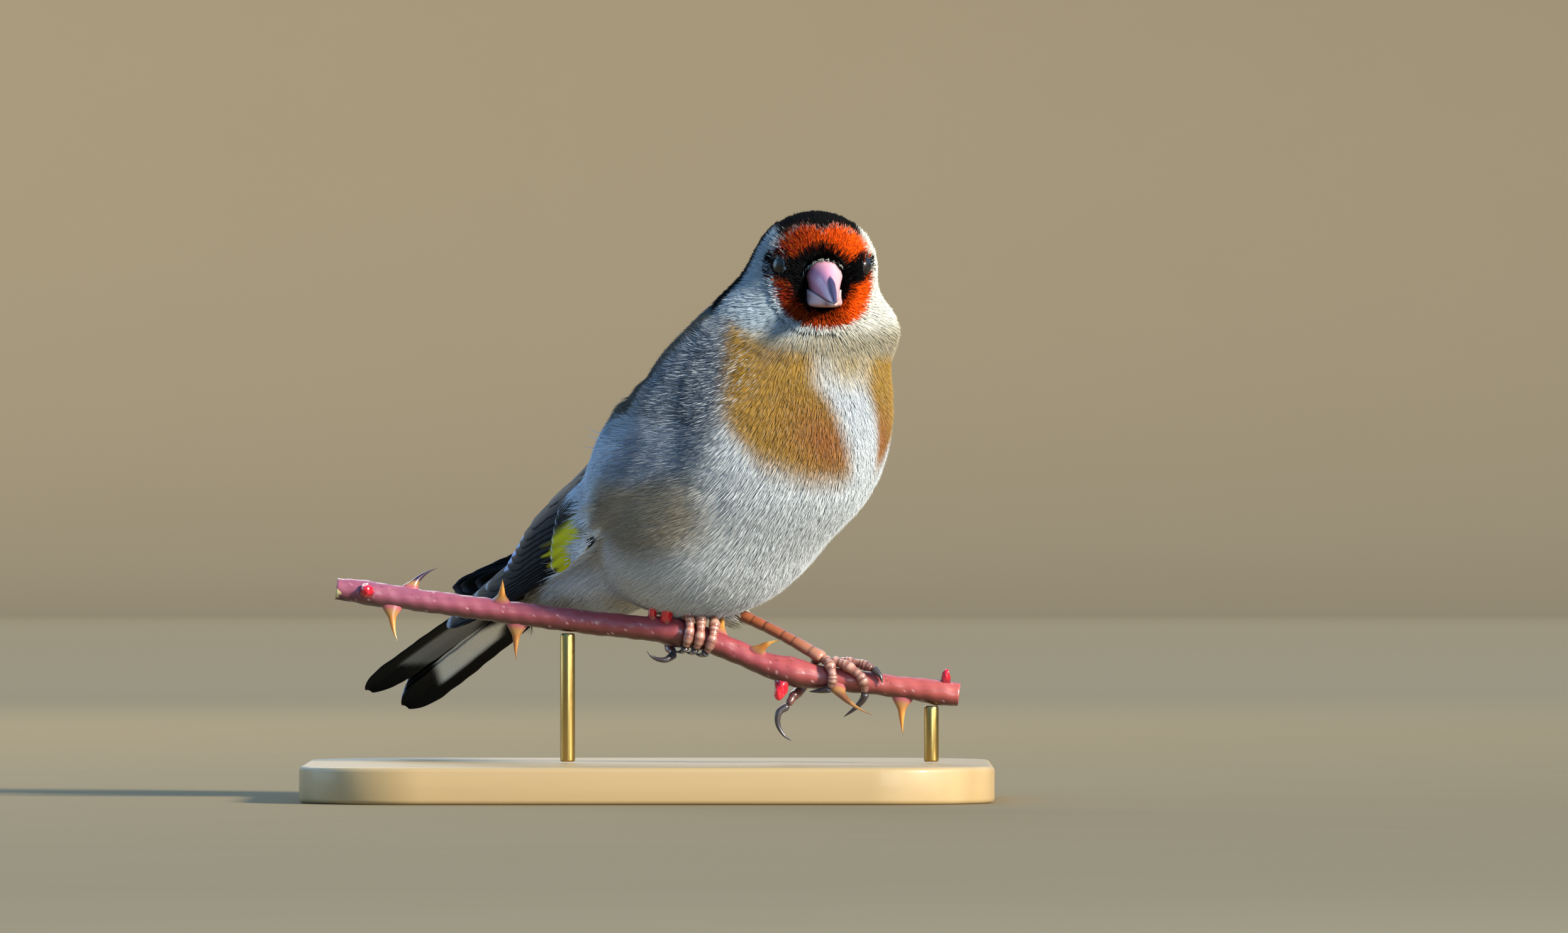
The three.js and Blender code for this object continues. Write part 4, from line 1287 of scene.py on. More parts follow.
@dataclass
class RoseStem:
    """The cut length of rose stem with its knots, thorns and buds.

    Attributes:
        route: Its middle, along X and up.
        radius: Its radius between knots.
        taper: How much thinner it gets with each millimetre from the middle.
        knots: Swellings, along X and in extra radius.
        knot_reach: How far a swelling reaches.
        thorns: Its thorns.
        buds: Its buds.
        sunk: How deep a root goes into it.
        thorn_base: Radius of a thorn's root.
        cut_rings: Sizes of the rings on its cut ends, as shares of its outline.
        line: Its middle line, worked out from the route.
    """

    route: tuple[tuple[float, float], ...] = (
        (-50.5, 34.4),
        (-32, 31.8),
        (-8, 28.7),
        (4, 27.4),
        (10, 25.9),
        (19.5, 22),
        (26, 20.3),
        (37, 18.9),
        (50.5, 17.1),
    )
    radius: float = 1.95
    taper: float = 0.004
    knots: tuple[tuple[float, float], ...] = ((-45, 0.25), (4.5, 0.45), (23.5, 0.55), (47, 0.3))
    knot_reach: float = 3.0
    thorns: tuple[Thorn, ...] = (
        Thorn(-38.9, -15, 4.4, 0.95, 1.0),
        Thorn(-41.3, 165, 6, 0.3),
        Thorn(-24, 25, 4.3, -0.05),
        Thorn(-21, 180, 6.2, 0.1, 0.35),
        Thorn(11, -35, 5.4, -0.15),
        Thorn(17.2, 32, 3.9, 0.75),
        Thorn(30.6, 135, 5.9, 1.15, 0.55),
        Thorn(41.5, 178, 6.4, 0.15),
    )
    buds: tuple[Bud, ...] = (
        Bud(-45.6, 80, 1.8, 1.25),
        Bud(2.7, 35, 3.3, 1.05),
        Bud(0.5, 25, 2.6, 0.75),
        Bud(22.4, 165, 2.9, 1.2),
        Bud(48, 15, 2.1, 0.85),
    )
    sunk: float = 1.2
    thorn_base: float = 1.1
    cut_rings: tuple[float, ...] = (0.94, 0.8, 0.35, 0.22, 0.0)
    line: Array = field(init=False)

    def __post_init__(self) -> None:
        """Works out the stem's middle line."""
        self.line = smooth_route([(x, STEM_Y, z) for x, z in self.route], 400)

    def radius_at(self, x: Array) -> Array:
        """The stem's radius along X."""
        swell = [more * np.exp(-(((x - at) / self.knot_reach) ** 2)) for at, more in self.knots]
        return self.radius - np.abs(x) * self.taper + np.maximum.reduce(swell)

    def middle(self, x: Array) -> Array:
        """Places on the stem's middle line."""
        return np.stack([np.interp(x, self.line[:, 0], self.line[:, k]) for k in range(3)], axis=-1)

    def way_along(self, x: float) -> Array:
        """The way the stem runs at x."""
        return unit(self.middle(x + 0.2) - self.middle(x - 0.2))

    def ways_out(self, x: float, turn: float | Array) -> Array:
        """The ways out of the bark at x, so many radians from its top towards the viewer."""
        return spokes(turn, np.cross(VIEWER, self.way_along(x)), VIEWER)

    def over(self, x: float, turn: float, height: float) -> Array:
        """The place at x, so many degrees from the top towards the viewer and so high over the bark."""
        return self.middle(x) + (self.radius_at(x) + height) * self.ways_out(x, math.radians(turn))[0]

    def off_line(self, points: Array) -> Array:
        """How far points are from the stem's middle line."""
        return np.linalg.norm(points - self.middle(points[:, 0]), axis=1)

    def build(self) -> None:
        """Makes the stem, its thorns and its buds."""
        self._stem()
        self._thorns()
        self._buds()

    def _stem(self) -> None:
        """Makes the stem with its cut ends."""
        turn = around(44)
        rings = []
        for x in np.linspace(self.route[0][0], self.route[-1][0], 300):
            uneven = 0.05 * np.sin(x * 0.9 + 3 * turn) + 0.035 * np.sin(x * 2.3 - 2 * turn)
            radii = self.radius_at(x) + uneven
            rings.append(self.middle(x) + radii[:, None] * self.ways_out(x, turn))
        first, last = (
            [edge.mean(0) + (edge - edge.mean(0)) * share for share in self.cut_rings]
            for edge in (rings[0], rings[-1])
        )
        mesh = lofted("rose_stem", first[::-1] + rings + last)
        place_piece(mesh, self._bark_colours(points_of(mesh)), BARK, "stem", "perch")

    def _bark_colours(self, points: Array) -> Array:
        """Plum red bark, purple to the left, with painted shade on its underside, pale lenticels and cut
        ends.

        Args:
            points: The stem's vertices.

        Returns:
            A linear colour for each.
        """
        x, _, z = points.T
        off = self.off_line(points)
        low = ease(0.2, -0.95, (z - self.middle(x)[:, 2]) / self.radius)
        draw = np.random.default_rng(SEED)
        fleck, scar = ((draw.random(len(x)) < few) * draw.random(len(x)) for few in (0.014, 0.02))
        ends = (np.abs(x) > 49.5) & (off < self.radius * 0.9)
        return layered(
            "964249",
            ("8e4c60", ease(-8, -44, x)),
            ("b4564c", ease(14, 40, x) * 0.6),
            # Painted shade on the stem's underside.
            ("1e1014", low * 0.85),
            ("dcaeb0", fleck * 0.7),
            ("3a1a20", scar * 0.7),
            ("c7b98a", ends),
            ("e6dfc6", ends & (off < self.radius * 0.3)),
        )

    def _thorns(self) -> None:
        """Makes the thorns, flared where they leave the bark."""
        share = np.linspace(0, 1, 26)
        t = share[:, None]
        lofts = []
        for thorn in self.thorns:
            along = self.way_along(thorn.x)
            root, foot, above = (self.over(thorn.x, thorn.turn, high) for high in (-self.sunk, 0, 1))
            out, lean = unit(above - foot), along * thorn.lean * thorn.length
            knee = root + out * (self.sunk + 0.5 * thorn.length) + 0.1 * lean
            tip = root + out * (self.sunk + 0.92 * thorn.length) + lean
            places = (1 - t) ** 2 * root + 2 * t * (1 - t) * knee + t**2 * tip
            rings = rings_along(places, self.thorn_base * (1 - share) ** 1.25 + 0.01, 18)
            flare = 0.9 * ease(0.42, 0.12, share)
            lofts.append([r + np.outer((r - q) @ along * f, along) for r, q, f in zip(rings, places, flare)])
        mesh = lofted("rose_thorns", *lofts)
        points = points_of(mesh).reshape(len(lofts), -1, 3)
        colours = np.concatenate([self._thorn_colours(*pair) for pair in zip(points, self.thorns)])
        place_piece(mesh, colours, HORN, "stem", "perch")

    def _thorn_colours(self, points: Array, thorn: Thorn) -> Array:
        """Bark at a thorn's foot, pale ochre over it, then orange, with a dark tip and a painted highlight
        on its +X side.

        Args:
            points: Its vertices.
            thorn: The thorn.

        Returns:
            A linear colour for each.
        """
        share = (self.off_line(points) - self.radius) / thorn.length
        # Painted highlight: the thorn's +X side, towards the key light, is painted paler.
        light = ease(-0.2, 0.5, points[:, 0] - points[:, 0].mean())
        foot = layered("a0545c", ("9c7042", ease(0.02, 0.14, share)))
        return layered(
            mix(foot, layered("b06f2c", ("2b1a33", thorn.dark)), ease(0.16, 0.34, share)),
            ("f0c06a", light * ease(0.2, 0.5, share) * 0.5 * (1 - thorn.dark)),
            ("3a1a10", ease(0.72, 0.97, share)),
        )

    def _buds(self) -> None:
        """Makes the crimson buds out of overlapping scales."""
        turn = around(28)
        lofts = []
        for bud in self.buds:
            root, tip = (self.over(bud.x, bud.turn, high) for high in (-self.sunk, bud.length))
            way = unit(tip - root)
            side = unit(np.cross(way, [0.3, 1, 0.2]))
            spoke = spokes(turn, side, np.cross(side, way))
            rings = []
            for t in np.linspace(0, 1, 24):
                scales = 1 + 0.07 * np.cos(3 * turn + 9 * t) + 0.05 * np.cos(5 * turn - 14 * t)
                radii = (bud.radius * math.sqrt(max(1 - t**2.4, 0)) + 0.01) * scales
                rings.append(root + (tip - root) * t + radii[:, None] * spoke)
            lofts.append(rings)
        mesh = lofted("rose_buds", *lofts)
        height = self.off_line(points_of(mesh)) - self.radius
        place_piece(mesh, layered("7d1c2c", ("c4142a", ease(0.2, 1.4, height))), BUD, "stem", "perch")


# Feet


@dataclass(frozen=True)
class Toe:
    """A toe and its claw, as places along X from the foot, round the stem and over its bark."""

    name: str
    route: tuple[tuple[float, ...], ...]
    claw: tuple[tuple[float, ...], ...]


@dataclass
class Foot:
    """A foot that grips the stem: four toes with scutes, their claws, and the leg where it shows.

    Attributes:
        side: "right" or "left".
        x: Where it stands on the stem.
        toes: Its toes.
        heel: Where its leg goes into the plumage, in the bird's axes, if it shows.
        toe_radius: Half a toe's width.
        gap: How far the toes keep off the bark.
        claw_width: A claw's width as a share of its toe's.
        scutes: How many scutes a toe has.
        leg_radius: Half the leg's width.
        leg_hidden: How far the leg goes on inside the plumage.
        claw_over: How high a claw's middle keeps over a toe's where its route doesn't say.
        stem: What the foot grips.
    """

    side: str
    x: float
    toes: tuple[Toe, ...]
    heel: tuple[float, float, float] | None = None
    toe_radius: float = 0.88
    gap: float = 0.25
    claw_width: float = 0.78
    scutes: int = 8
    leg_radius: float = 1.05
    leg_hidden: float = 3.0
    claw_over: float = -0.35
    stem: RoseStem = field(init=False)

    def build(self, stem: RoseStem) -> None:
        """Makes the toes, claws and leg.

        Args:
            stem: What the foot grips.
        """
        self.stem = stem
        for toe in self.toes:
            self._toe(toe)
        if self.heel:
            self._leg()

    def _place(self, along: float, turn: float, over: float = 0.0) -> Array:
        """A place on a toe's route."""
        return self.stem.over(self.x + along, turn, self.toe_radius + self.gap + over)

    def _toe(self, toe: Toe) -> None:
        """Makes one toe and its claw.

        Args:
            toe: The toe.
        """
        name = f"toe_{self.side}_{toe.name}"
        places = smooth_route([self._place(*step) for step in toe.route], 64)
        t = np.linspace(0, 1, len(places))
        phase = self.scutes * (t + 0.035 * np.sin(2 * math.pi * t * 2.3 + self.x + len(toe.name)))
        joints = 0.95 + 0.13 * np.cos(t * math.pi * 5 + 0.6)
        swell = self.toe_radius * joints * (1.08 - 0.2 * t)
        ridge = np.abs(np.sin(phase * math.pi)) ** 0.5
        ends = np.sqrt(np.maximum(1 - ((t - 0.5) / 0.502) ** 22, 0))
        rings = rings_along(places, swell * 0.95 * ends + 0.005, 24)
        for i, ring in enumerate(rings):
            out = unit(places[i] - self.stem.middle(places[i][0]))
            back = ease(-0.3, 0.6, unit(ring - places[i]) @ out)
            plate = 0.17 * (ridge[i] - 0.55) * back + 0.05 * np.sin(phase[i] * 5) * (1 - back)
            rings[i] = places[i] + (ring - places[i]) * (1 + plate * ends[i])[:, None]
        mesh = lofted(name, rings)
        points = points_of(mesh)
        near = nearest(points, places)
        over = self.stem.off_line(points) - self.stem.off_line(places)[near]
        colours = layered(
            "6c3c35",
            # Painted shade: the toe is darker on the side against the bark, lighter away from it.
            ("a26c5e", ease(-0.4, 0.2, over) * 0.7),
            # Painted shade in the grooves between the scutes.
            ("2c120e", ease(0.5, 0.1, ridge[near]) * 0.85),
            # Painted highlight on the crests of the scutes, on the side away from the bark.
            ("d8b3a0", ease(0.78, 1.0, ridge[near]) * ease(0.3, 0.9, over) * 0.5),
            ("2e1c22", ease(0.6, 1.0, t[near]) * 0.55),
        )
        place_piece(mesh, colours, LEATHER, "leg", name)
        self._claw(toe, places)

    def _claw(self, toe: Toe, places: Array) -> None:
        """Makes one claw.

        Args:
            toe: Its toe.
            places: The toe's route.
        """
        name = f"claw_{self.side}_{toe.name}"
        root = places[-1] + unit(places[-1] - places[-3]) * 0.1
        steps = [step if len(step) > 2 else (*step, self.claw_over) for step in toe.claw]
        way = smooth_route([root, *(self._place(*step) for step in steps)], 30)
        t = np.linspace(0, 1, len(way))
        blunt = np.sqrt(np.minimum(t * 12 + 0.4, 1))
        radii = self.toe_radius * self.claw_width * (1 - t) ** 0.75 * blunt + 0.01
        mesh = lofted(name, rings_along(way, radii, 16))
        near = nearest(points_of(mesh), way)
        place_piece(mesh, layered("57474a", ("1b181d", ease(0.1, 0.7, t[near]))), CLAW, "claw", name)

    def _leg(self) -> None:
        """Makes the leg with its row of scutes."""
        name = f"tarsus_{self.side}"
        foot, top = self._place(0, 0), BIRD.out(self.heel)
        top = top + unit(top - foot) * self.leg_hidden
        t = np.linspace(0, 1, 90)
        places = foot + (top - foot) * t[:, None]
        places[:, 2] += 0.5 * np.sin(t * math.pi)
        phase = 7.5 * (t + 0.02 * np.sin(t * 19))
        groove = 1 - np.abs(np.sin(phase * math.pi)) ** 0.35
        ends = np.sqrt(np.maximum(1 - ((t - 0.5) / 0.502) ** 30, 0))
        radii = self.leg_radius * (1 + 0.3 * (1 - t) ** 5 + 0.25 * t**3) * (1 - 0.1 * groove) * ends + 0.005
        mesh = lofted(name, rings_along(places, radii, 24, 0.86))
        points = points_of(mesh)
        near = nearest(points, places)
        low = ease(0.3, -0.7, (points - places[near])[:, 2])
        colours = layered(
            "97563a",
            # Painted shade on the leg's underside.
            ("5b2b22", low * 0.8),
            # Painted highlight on the leg's upper side near the foot.
            ("cf9c86", ease(0.35, 0.0, t[near]) * ease(0, 0.5, 1 - low) * 0.4),
            # Painted shade in the grooves between the scutes.
            ("2f1510", ease(0.25, 0.8, groove[near]) * 0.8),
        )
        place_piece(mesh, colours, LEATHER, "leg", name)


FEET = (
    Foot(
        "right",
        6.2,
        (
            Toe("inner", ((-1.4, 12, 2.4), (-0.4, 30, 0.9), (0.3, 62), (0.5, 95), (0.4, 128)),
                ((0, 160), (-1, 186))),
            Toe("middle", ((0.8, 6, 1.8), (1.5, 30, 0.6), (2, 60), (2.25, 95), (2.1, 128)),
                ((1.7, 160), (0.7, 188))),
            Toe("outer", ((3, 0, 1.2), (3.7, 30, 0.3), (4, 60), (4.15, 95), (3.9, 128)),
                ((3.3, 160), (2.2, 190))),
            Toe("hind", ((-1.4, -20), (-2.6, -80), (-2.4, -130), (-1.2, -174)),
                ((-2.6, -190, 1.3), (-4.6, -192, 1.5), (-6, -200, 0.8))),
        ),
    ),
    Foot(
        "left",
        28.2,
        (
            Toe("inner", ((0.2, 6), (1.2, 50), (1.8, 90), (1.6, 120)), ((0.4, 140), (-1.6, 156))),
            Toe("middle", ((1.4, 8), (3.9, 38), (6.6, 80), (7.3, 122)),
                ((7, 146, 0.4), (6, 164, 1.4), (4.2, 176, 3))),
            Toe("outer", ((1.6, -14), (3.8, -8), (6, 8), (8, 34)), ((9.4, 60), (9.8, 84))),
            Toe("hind", ((-1.2, -14), (-1.8, -75), (-2.6, -130), (-3.8, -166, 0.5), (-4.2, -178, 1.9)),
                ((-5.2, -182, 3.3), (-5, -182, 5.2), (-3.9, -182, 6.8), (-2.6, -182, 7.7))),
        ),
        heel=(2.2, 9, 30.3),
    ),
)


# Eyes and bill


@dataclass
class Eye:
    """A dark glossy eye with its ring of lids.

    Attributes:
        side: -1 for the right eye, 1 for the left one.
        at: Its middle in the head's axes.
        look: The way it looks in the head's axes, for the left one.
        radius: Its radius.
        lid: Thickness of the lids' rim.
        pupil: The pupil's half angle in degrees.
        name: The eye's CAD node.
        centre: Its middle in the part's frame.
        way: The way it looks there.
    """

    side: int
    at: tuple[float, float, float] = (4.4, 6.1, 2.3)
    look: tuple[float, float, float] = (0.42, 1, 0.06)
    radius: float = 1.95
    lid: float = 0.22
    pupil: float = 38.0
    name: str = field(init=False)
    centre: Array = field(init=False)
    way: Array = field(init=False)

    def __post_init__(self) -> None:
        """Places the eye on its side of the head."""
        mirror = np.array([1, self.side, 1])
        self.name = "eye_left" if self.side > 0 else "eye_right"
        self.centre = HEAD.out(np.array(self.at) * mirror)
        self.way = unit((np.array(self.look) * mirror) @ HEAD.rows)

    def build(self) -> None:
        """Makes the eyeball and the lids."""
        self._ball()
        self._lids()

    def _aimed(self, bm: bmesh.types.BMesh, ahead: float, part: str) -> bpy.types.Mesh:
        """Turns a shape made round +Z to the way the eye looks.

        Args:
            bm: The shape.
            ahead: How far it goes in front of the eye's middle.
            part: What it is.

        Returns:
            Its mesh, in place.
        """
        turn = Vector((0, 0, 1)).rotation_difference(Vector(self.way)).to_matrix()
        bmesh.ops.rotate(bm, verts=bm.verts, cent=(0, 0, 0), matrix=turn)
        bmesh.ops.translate(bm, verts=bm.verts, vec=Vector(self.centre + self.way * ahead) * MM)
        return mesh_from(bm, f"{self.name}_{part}")

    def _ball(self) -> None:
        """Makes the eyeball, with its pupil and dark brown iris."""
        bm = bmesh.new()
        bmesh.ops.create_uvsphere(bm, u_segments=48, v_segments=32, radius=self.radius * MM)
        mesh = self._aimed(bm, 0, "ball")
        off = np.degrees(np.arccos(np.clip(unit(points_of(mesh) - self.centre) @ self.way, -1, 1)))
        colours = layered("050506", ("1d120d", ease(self.pupil, self.pupil + 4, off)))
        place_piece(mesh, colours, EYE, "eye", self.name)

    def _lids(self) -> None:
        """Spins the lids' rim round the eye."""
        bm = bmesh.new()
        bmesh.ops.create_circle(bm, segments=12, radius=self.lid * MM)
        upright = Vector((0, 0, 1)).rotation_difference((0, 1, 0)).to_matrix()
        bmesh.ops.rotate(bm, verts=bm.verts, cent=(0, 0, 0), matrix=upright)
        bmesh.ops.translate(bm, verts=bm.verts, vec=(self.radius * 0.86 * MM, 0, 0))
        spin_round(bm, 48)
        bmesh.ops.recalc_face_normals(bm, faces=bm.faces)
        for vert in bm.verts:
            angle = math.atan2(vert.co.y, vert.co.x)
            vert.co.z += 0.05 * MM * math.sin(18 * angle)
            vert.co *= 1 + 0.02 * math.sin(18 * angle + 1)
        mesh = self._aimed(bm, self.radius * 0.46, "lids")
        inward = np.linalg.norm(points_of(mesh) - self.centre, axis=1) - self.radius
        place_piece(mesh, layered("4a5060", ("0c0b0f", ease(-0.05, 0.15, inward))), LEATHER, "eye")


@dataclass
class Bill:
    """The conical bill: two halves that meet in the mouth line.

    Attributes:
        root: Where it leaves the face, forward in the head.
        tip: Its tip, forward and up.
        top: Height of its upper half at the root.
        bottom: Height of its lower half at the root.
        half_width: Half its width at the root.
        mouth: Height of the mouth line at the root.
        sag: How far the mouth line bends down on its way.
        keel: How much more of a ridge than a dome the upper half is at its tip.
        tuck: How much narrower the upper half's edge is than its side.
        jaw: Width of the lower half as a share of the upper one's.
        nostril: Where a nostril is.
        nostril_size: Its radii.
    """

    root: float = 7.2
    tip: tuple[float, float] = (19.2, -1.4)
    top: float = 3.5
    bottom: float = -3.9
    half_width: float = 3.3
    mouth: float = -0.95
    sag: float = 0.1
    keel: float = 0.6
    tuck: float = 0.22
    jaw: float = 1.08
    nostril: tuple[float, float, float] = (10.6, 2.45, 2.1)
    nostril_size: tuple[float, float, float] = (0.8, 0.7, 0.4)

    def build(self) -> None:
        """Makes both halves."""
        for upper, name in ((True, "bill_upper"), (False, "bill_lower")):
            rings = [HEAD.out(self._ring(t, upper)) for t in np.linspace(0, 1, 44) ** 0.9]
            mesh = lofted(f"{name}_horn", rings, near=2e-6)
            place_piece(mesh, self._colours(HEAD.into(points_of(mesh)), upper), HORN, "bill", name)

    def _pit(self, places: Array, side: int, steep: float) -> Array:
        """How near places are to a nostril's middle, 1 there and 0 far off."""
        off = (places - np.array(self.nostril) * [1, side, 1]) / self.nostril_size
        return np.exp(-((off**2).sum(1)) * steep)

    def _ring(self, t: float, upper: bool) -> Array:
        """A half's outline at a share of the way to the tip.

        Args:
            t: The share.
            upper: Whether it is the upper half.

        Returns:
            Places in the head's axes, over the crown of the half and back inside the mouth.
        """
        ahead = self.root + (self.tip[0] - self.root) * t
        taper = (1 - t) ** 0.8 * (1 - 0.12 * math.sin(math.pi * t))
        seam = self.mouth + (self.tip[1] - self.mouth) * t - self.sag * math.sin(math.pi * t)
        turn = np.linspace(0, math.pi, 37)
        level, high = np.cos(turn), np.sin(turn)
        if upper:
            rise = (self.top - self.mouth) * (1 - t**1.6)
            pinch = 0.85 + self.keel * t
            tuck = 1 - self.tuck * (1 - t) * (1 - ease(0.05, 0.5, high))
            half = self.half_width * taper + 0.08
        else:
            rise = (self.bottom - self.mouth) * taper
            pinch = 0.42 + 0.5 * t
            tuck = 0.8 + 0.2 * ease(0, 0.8, high) + 0.1 * t * (1 - ease(0, 0.8, high))
            half = self.half_width * self.jaw * taper + 0.06
        sign = 1 if upper else -1
        across = half * tuck * np.sign(level) * np.abs(level) ** pinch
        up = seam + sign * 0.06 + (rise + sign * 0.12) * high**pinch
        roof = np.linspace(-1, 1, 13)[1:-1]
        inside = seam + sign * (0.06 + 0.25 * (1 - roof**2) * (1 - t))
        ring = np.r_[np.c_[across, up], np.c_[roof * half * tuck[0], inside]]
        places = np.c_[np.full(len(ring), ahead), ring]
        for side in (-1, 1) if upper else ():
            places[:, 1] -= side * 0.45 * self._pit(places, side, 1.6)
        return places

    def _colours(self, places: Array, upper: bool) -> Array:
        """Ivory pink with a dark ridge and tip, painted lighter on the lit left side and darker on the
        shaded right side, with painted shade along the mouth line.

        Args:
            places: Vertices in the head's axes.
            upper: Whether it is the upper half.

        Returns:
            A linear colour for each.
        """
        ahead, left, up = places.T
        flush = np.exp(-(((ahead - 11.8) / 2.4) ** 2)) * ease(2.2, 0.4, np.abs(left + 0.4))
        # Painted light and shade: pale pink on the lit left side, dark mauve on the shaded right side.
        pink = layered("ad7590", ("dfa9b4", ease(-2.6, 1.6, left)), ("c9799c", flush * 0.6))
        if upper:
            wide = 0.62 * ease(12.4, 14.2, ahead) * (1 - 0.45 * ease(15.5, 19.0, ahead))
            ridge = ease(wide + 0.22, wide - 0.1, np.abs(left - 0.1)) * ease(11.6, 13.6, ahead)
            pits = [("1c1218", self._pit(places, side, 2.0)) for side in (-1, 1)]
            # Painted shade along the mouth line of the upper half.
            edge = ease(0.35, 0.05, up - self.mouth + (ahead - self.root) * 0.037)
            return layered(pink, ("17143c", ridge * 0.95), *pits, ("3b2834", edge * 0.85))
        # A darker spot on the right side of the lower half, towards its tip.
        dark_spot = np.exp(-(((left + 0.9) / 0.9) ** 2) - ((ahead - 16.6) / 2.2) ** 2)
        warm = np.exp(-(((ahead - 14) / 2) ** 2))
        return layered(pink, ("efdcdc", 0.45), ("5a2418", dark_spot * 0.85), ("d9b8a0", warm * 0.35))


# Coat


class Tract(Enum):
    """Parts of the coat, each a piece of its own."""

    FACE = "coat_face"
    CROWN = "coat_crown"
    CHEEK_RIGHT = "coat_cheek_right"
    CHEEK_LEFT = "coat_cheek_left"
    THROAT = "coat_throat"
    BREAST = "coat_breast"
    BELLY = "coat_belly"
    FLANK_RIGHT = "coat_flank_right"
    FLANK_LEFT = "coat_flank_left"
    FLUFF = "coat_fluff"
    MANTLE = "coat_mantle"
    RUMP = "coat_rump"
    VENT = "coat_vent"


@dataclass(frozen=True)
class Lay:
    """How one tract's barbs lie.

    Attributes:
        length: A barb's length.
        width: Its width.
        density: Barbs to a square millimetre.
        fan: Degrees that a feather's outer barbs turn away.
        stand: How far tips stand over the coat's outer surface.
        loose: How much lengths and directions vary.
        climb: How high they rise to lie over the wing where they reach it.
        bright: How much brighter they are painted than the others; above 1 it is painted light that lifts
            tracts lying in shade.
    """

    length: float
    width: float
    density: float
    fan: float = 8.0
    stand: float = 0.2
    loose: float = 0.1
    climb: float = 2.5
    bright: float = 1.0


# The right flank, the fluff and the vent are painted brighter, as painted light for tracts that lie in
# shade.
LAYS: dict[Tract, Lay] = {
    Tract.FACE: Lay(1.15, 0.2, 44, 14, 0.15, 0.22),
    Tract.CROWN: Lay(1.8, 0.15, 42, 8, -0.3),
    Tract.CHEEK_RIGHT: Lay(2.3, 0.14, 42, 7, 0.0),
    Tract.CHEEK_LEFT: Lay(2.5, 0.14, 42, 8, -0.1, 0.13),
    Tract.THROAT: Lay(3.0, 0.15, 38, 7, 0.2),
    Tract.BREAST: Lay(3.6, 0.16, 36, 7, 0.1),
    Tract.BELLY: Lay(4.6, 0.18, 26, 8, 0.3, 0.12, climb=0),
    Tract.FLANK_RIGHT: Lay(6.2, 0.15, 34, 10, 0.25, 0.14, bright=1.1),
    Tract.FLANK_LEFT: Lay(5.0, 0.2, 18, 9, 0.1),
    Tract.FLUFF: Lay(8.5, 0.16, 28, 10, 0.3, 0.15, climb=5.5, bright=1.5),
    Tract.MANTLE: Lay(4.2, 0.19, 20, 8, 0.2),
    Tract.RUMP: Lay(5.0, 0.22, 14, 9, 0.1, climb=0),
    Tract.VENT: Lay(6.5, 0.19, 22, 9, 0.1, 0.12, climb=0, bright=1.2),
}

HEAD_COAT = ("coat_face", "coat_crown", "coat_cheek", "coat_throat", "coat_bristles")

# A barb's five vertices: its root, three in its middle and its tip
BARB_FACES = ((0, 2, 1), (0, 1, 3), (0, 3, 2), (1, 2, 4), (3, 1, 4), (2, 3, 4))
BARB_SPOTS = ((0.5, 0), (0, 0.5), (1, 0.5), (0.5, 0.5), (0.5, 1))

# At a barb's root, middle and tip: its tone, how much streaks darken it and how pale they make it; the
# root's lower tone is painted shade deep in the coat
BARB_TONES = ((0.6, 0.3, 0.0), (1.0, 0.5, 0.9), (1.05, 0.3, 1.1))


@dataclass(frozen=True)
class Swell:
    """A place where the plumage is fluffed up, or drawn in: in the bird's axes, its reach and height."""

    at: tuple[float, float, float]
    reach: float
    height: float


SWELLS = (
    Swell((11, -15.5, 70), 9, 0.9),
    Swell((35, 12.5, 61), 8, -1.9),
    Swell((32, 9, 79), 4, -0.9),
    Swell((22.5, 10, 46), 9, -0.5),
)


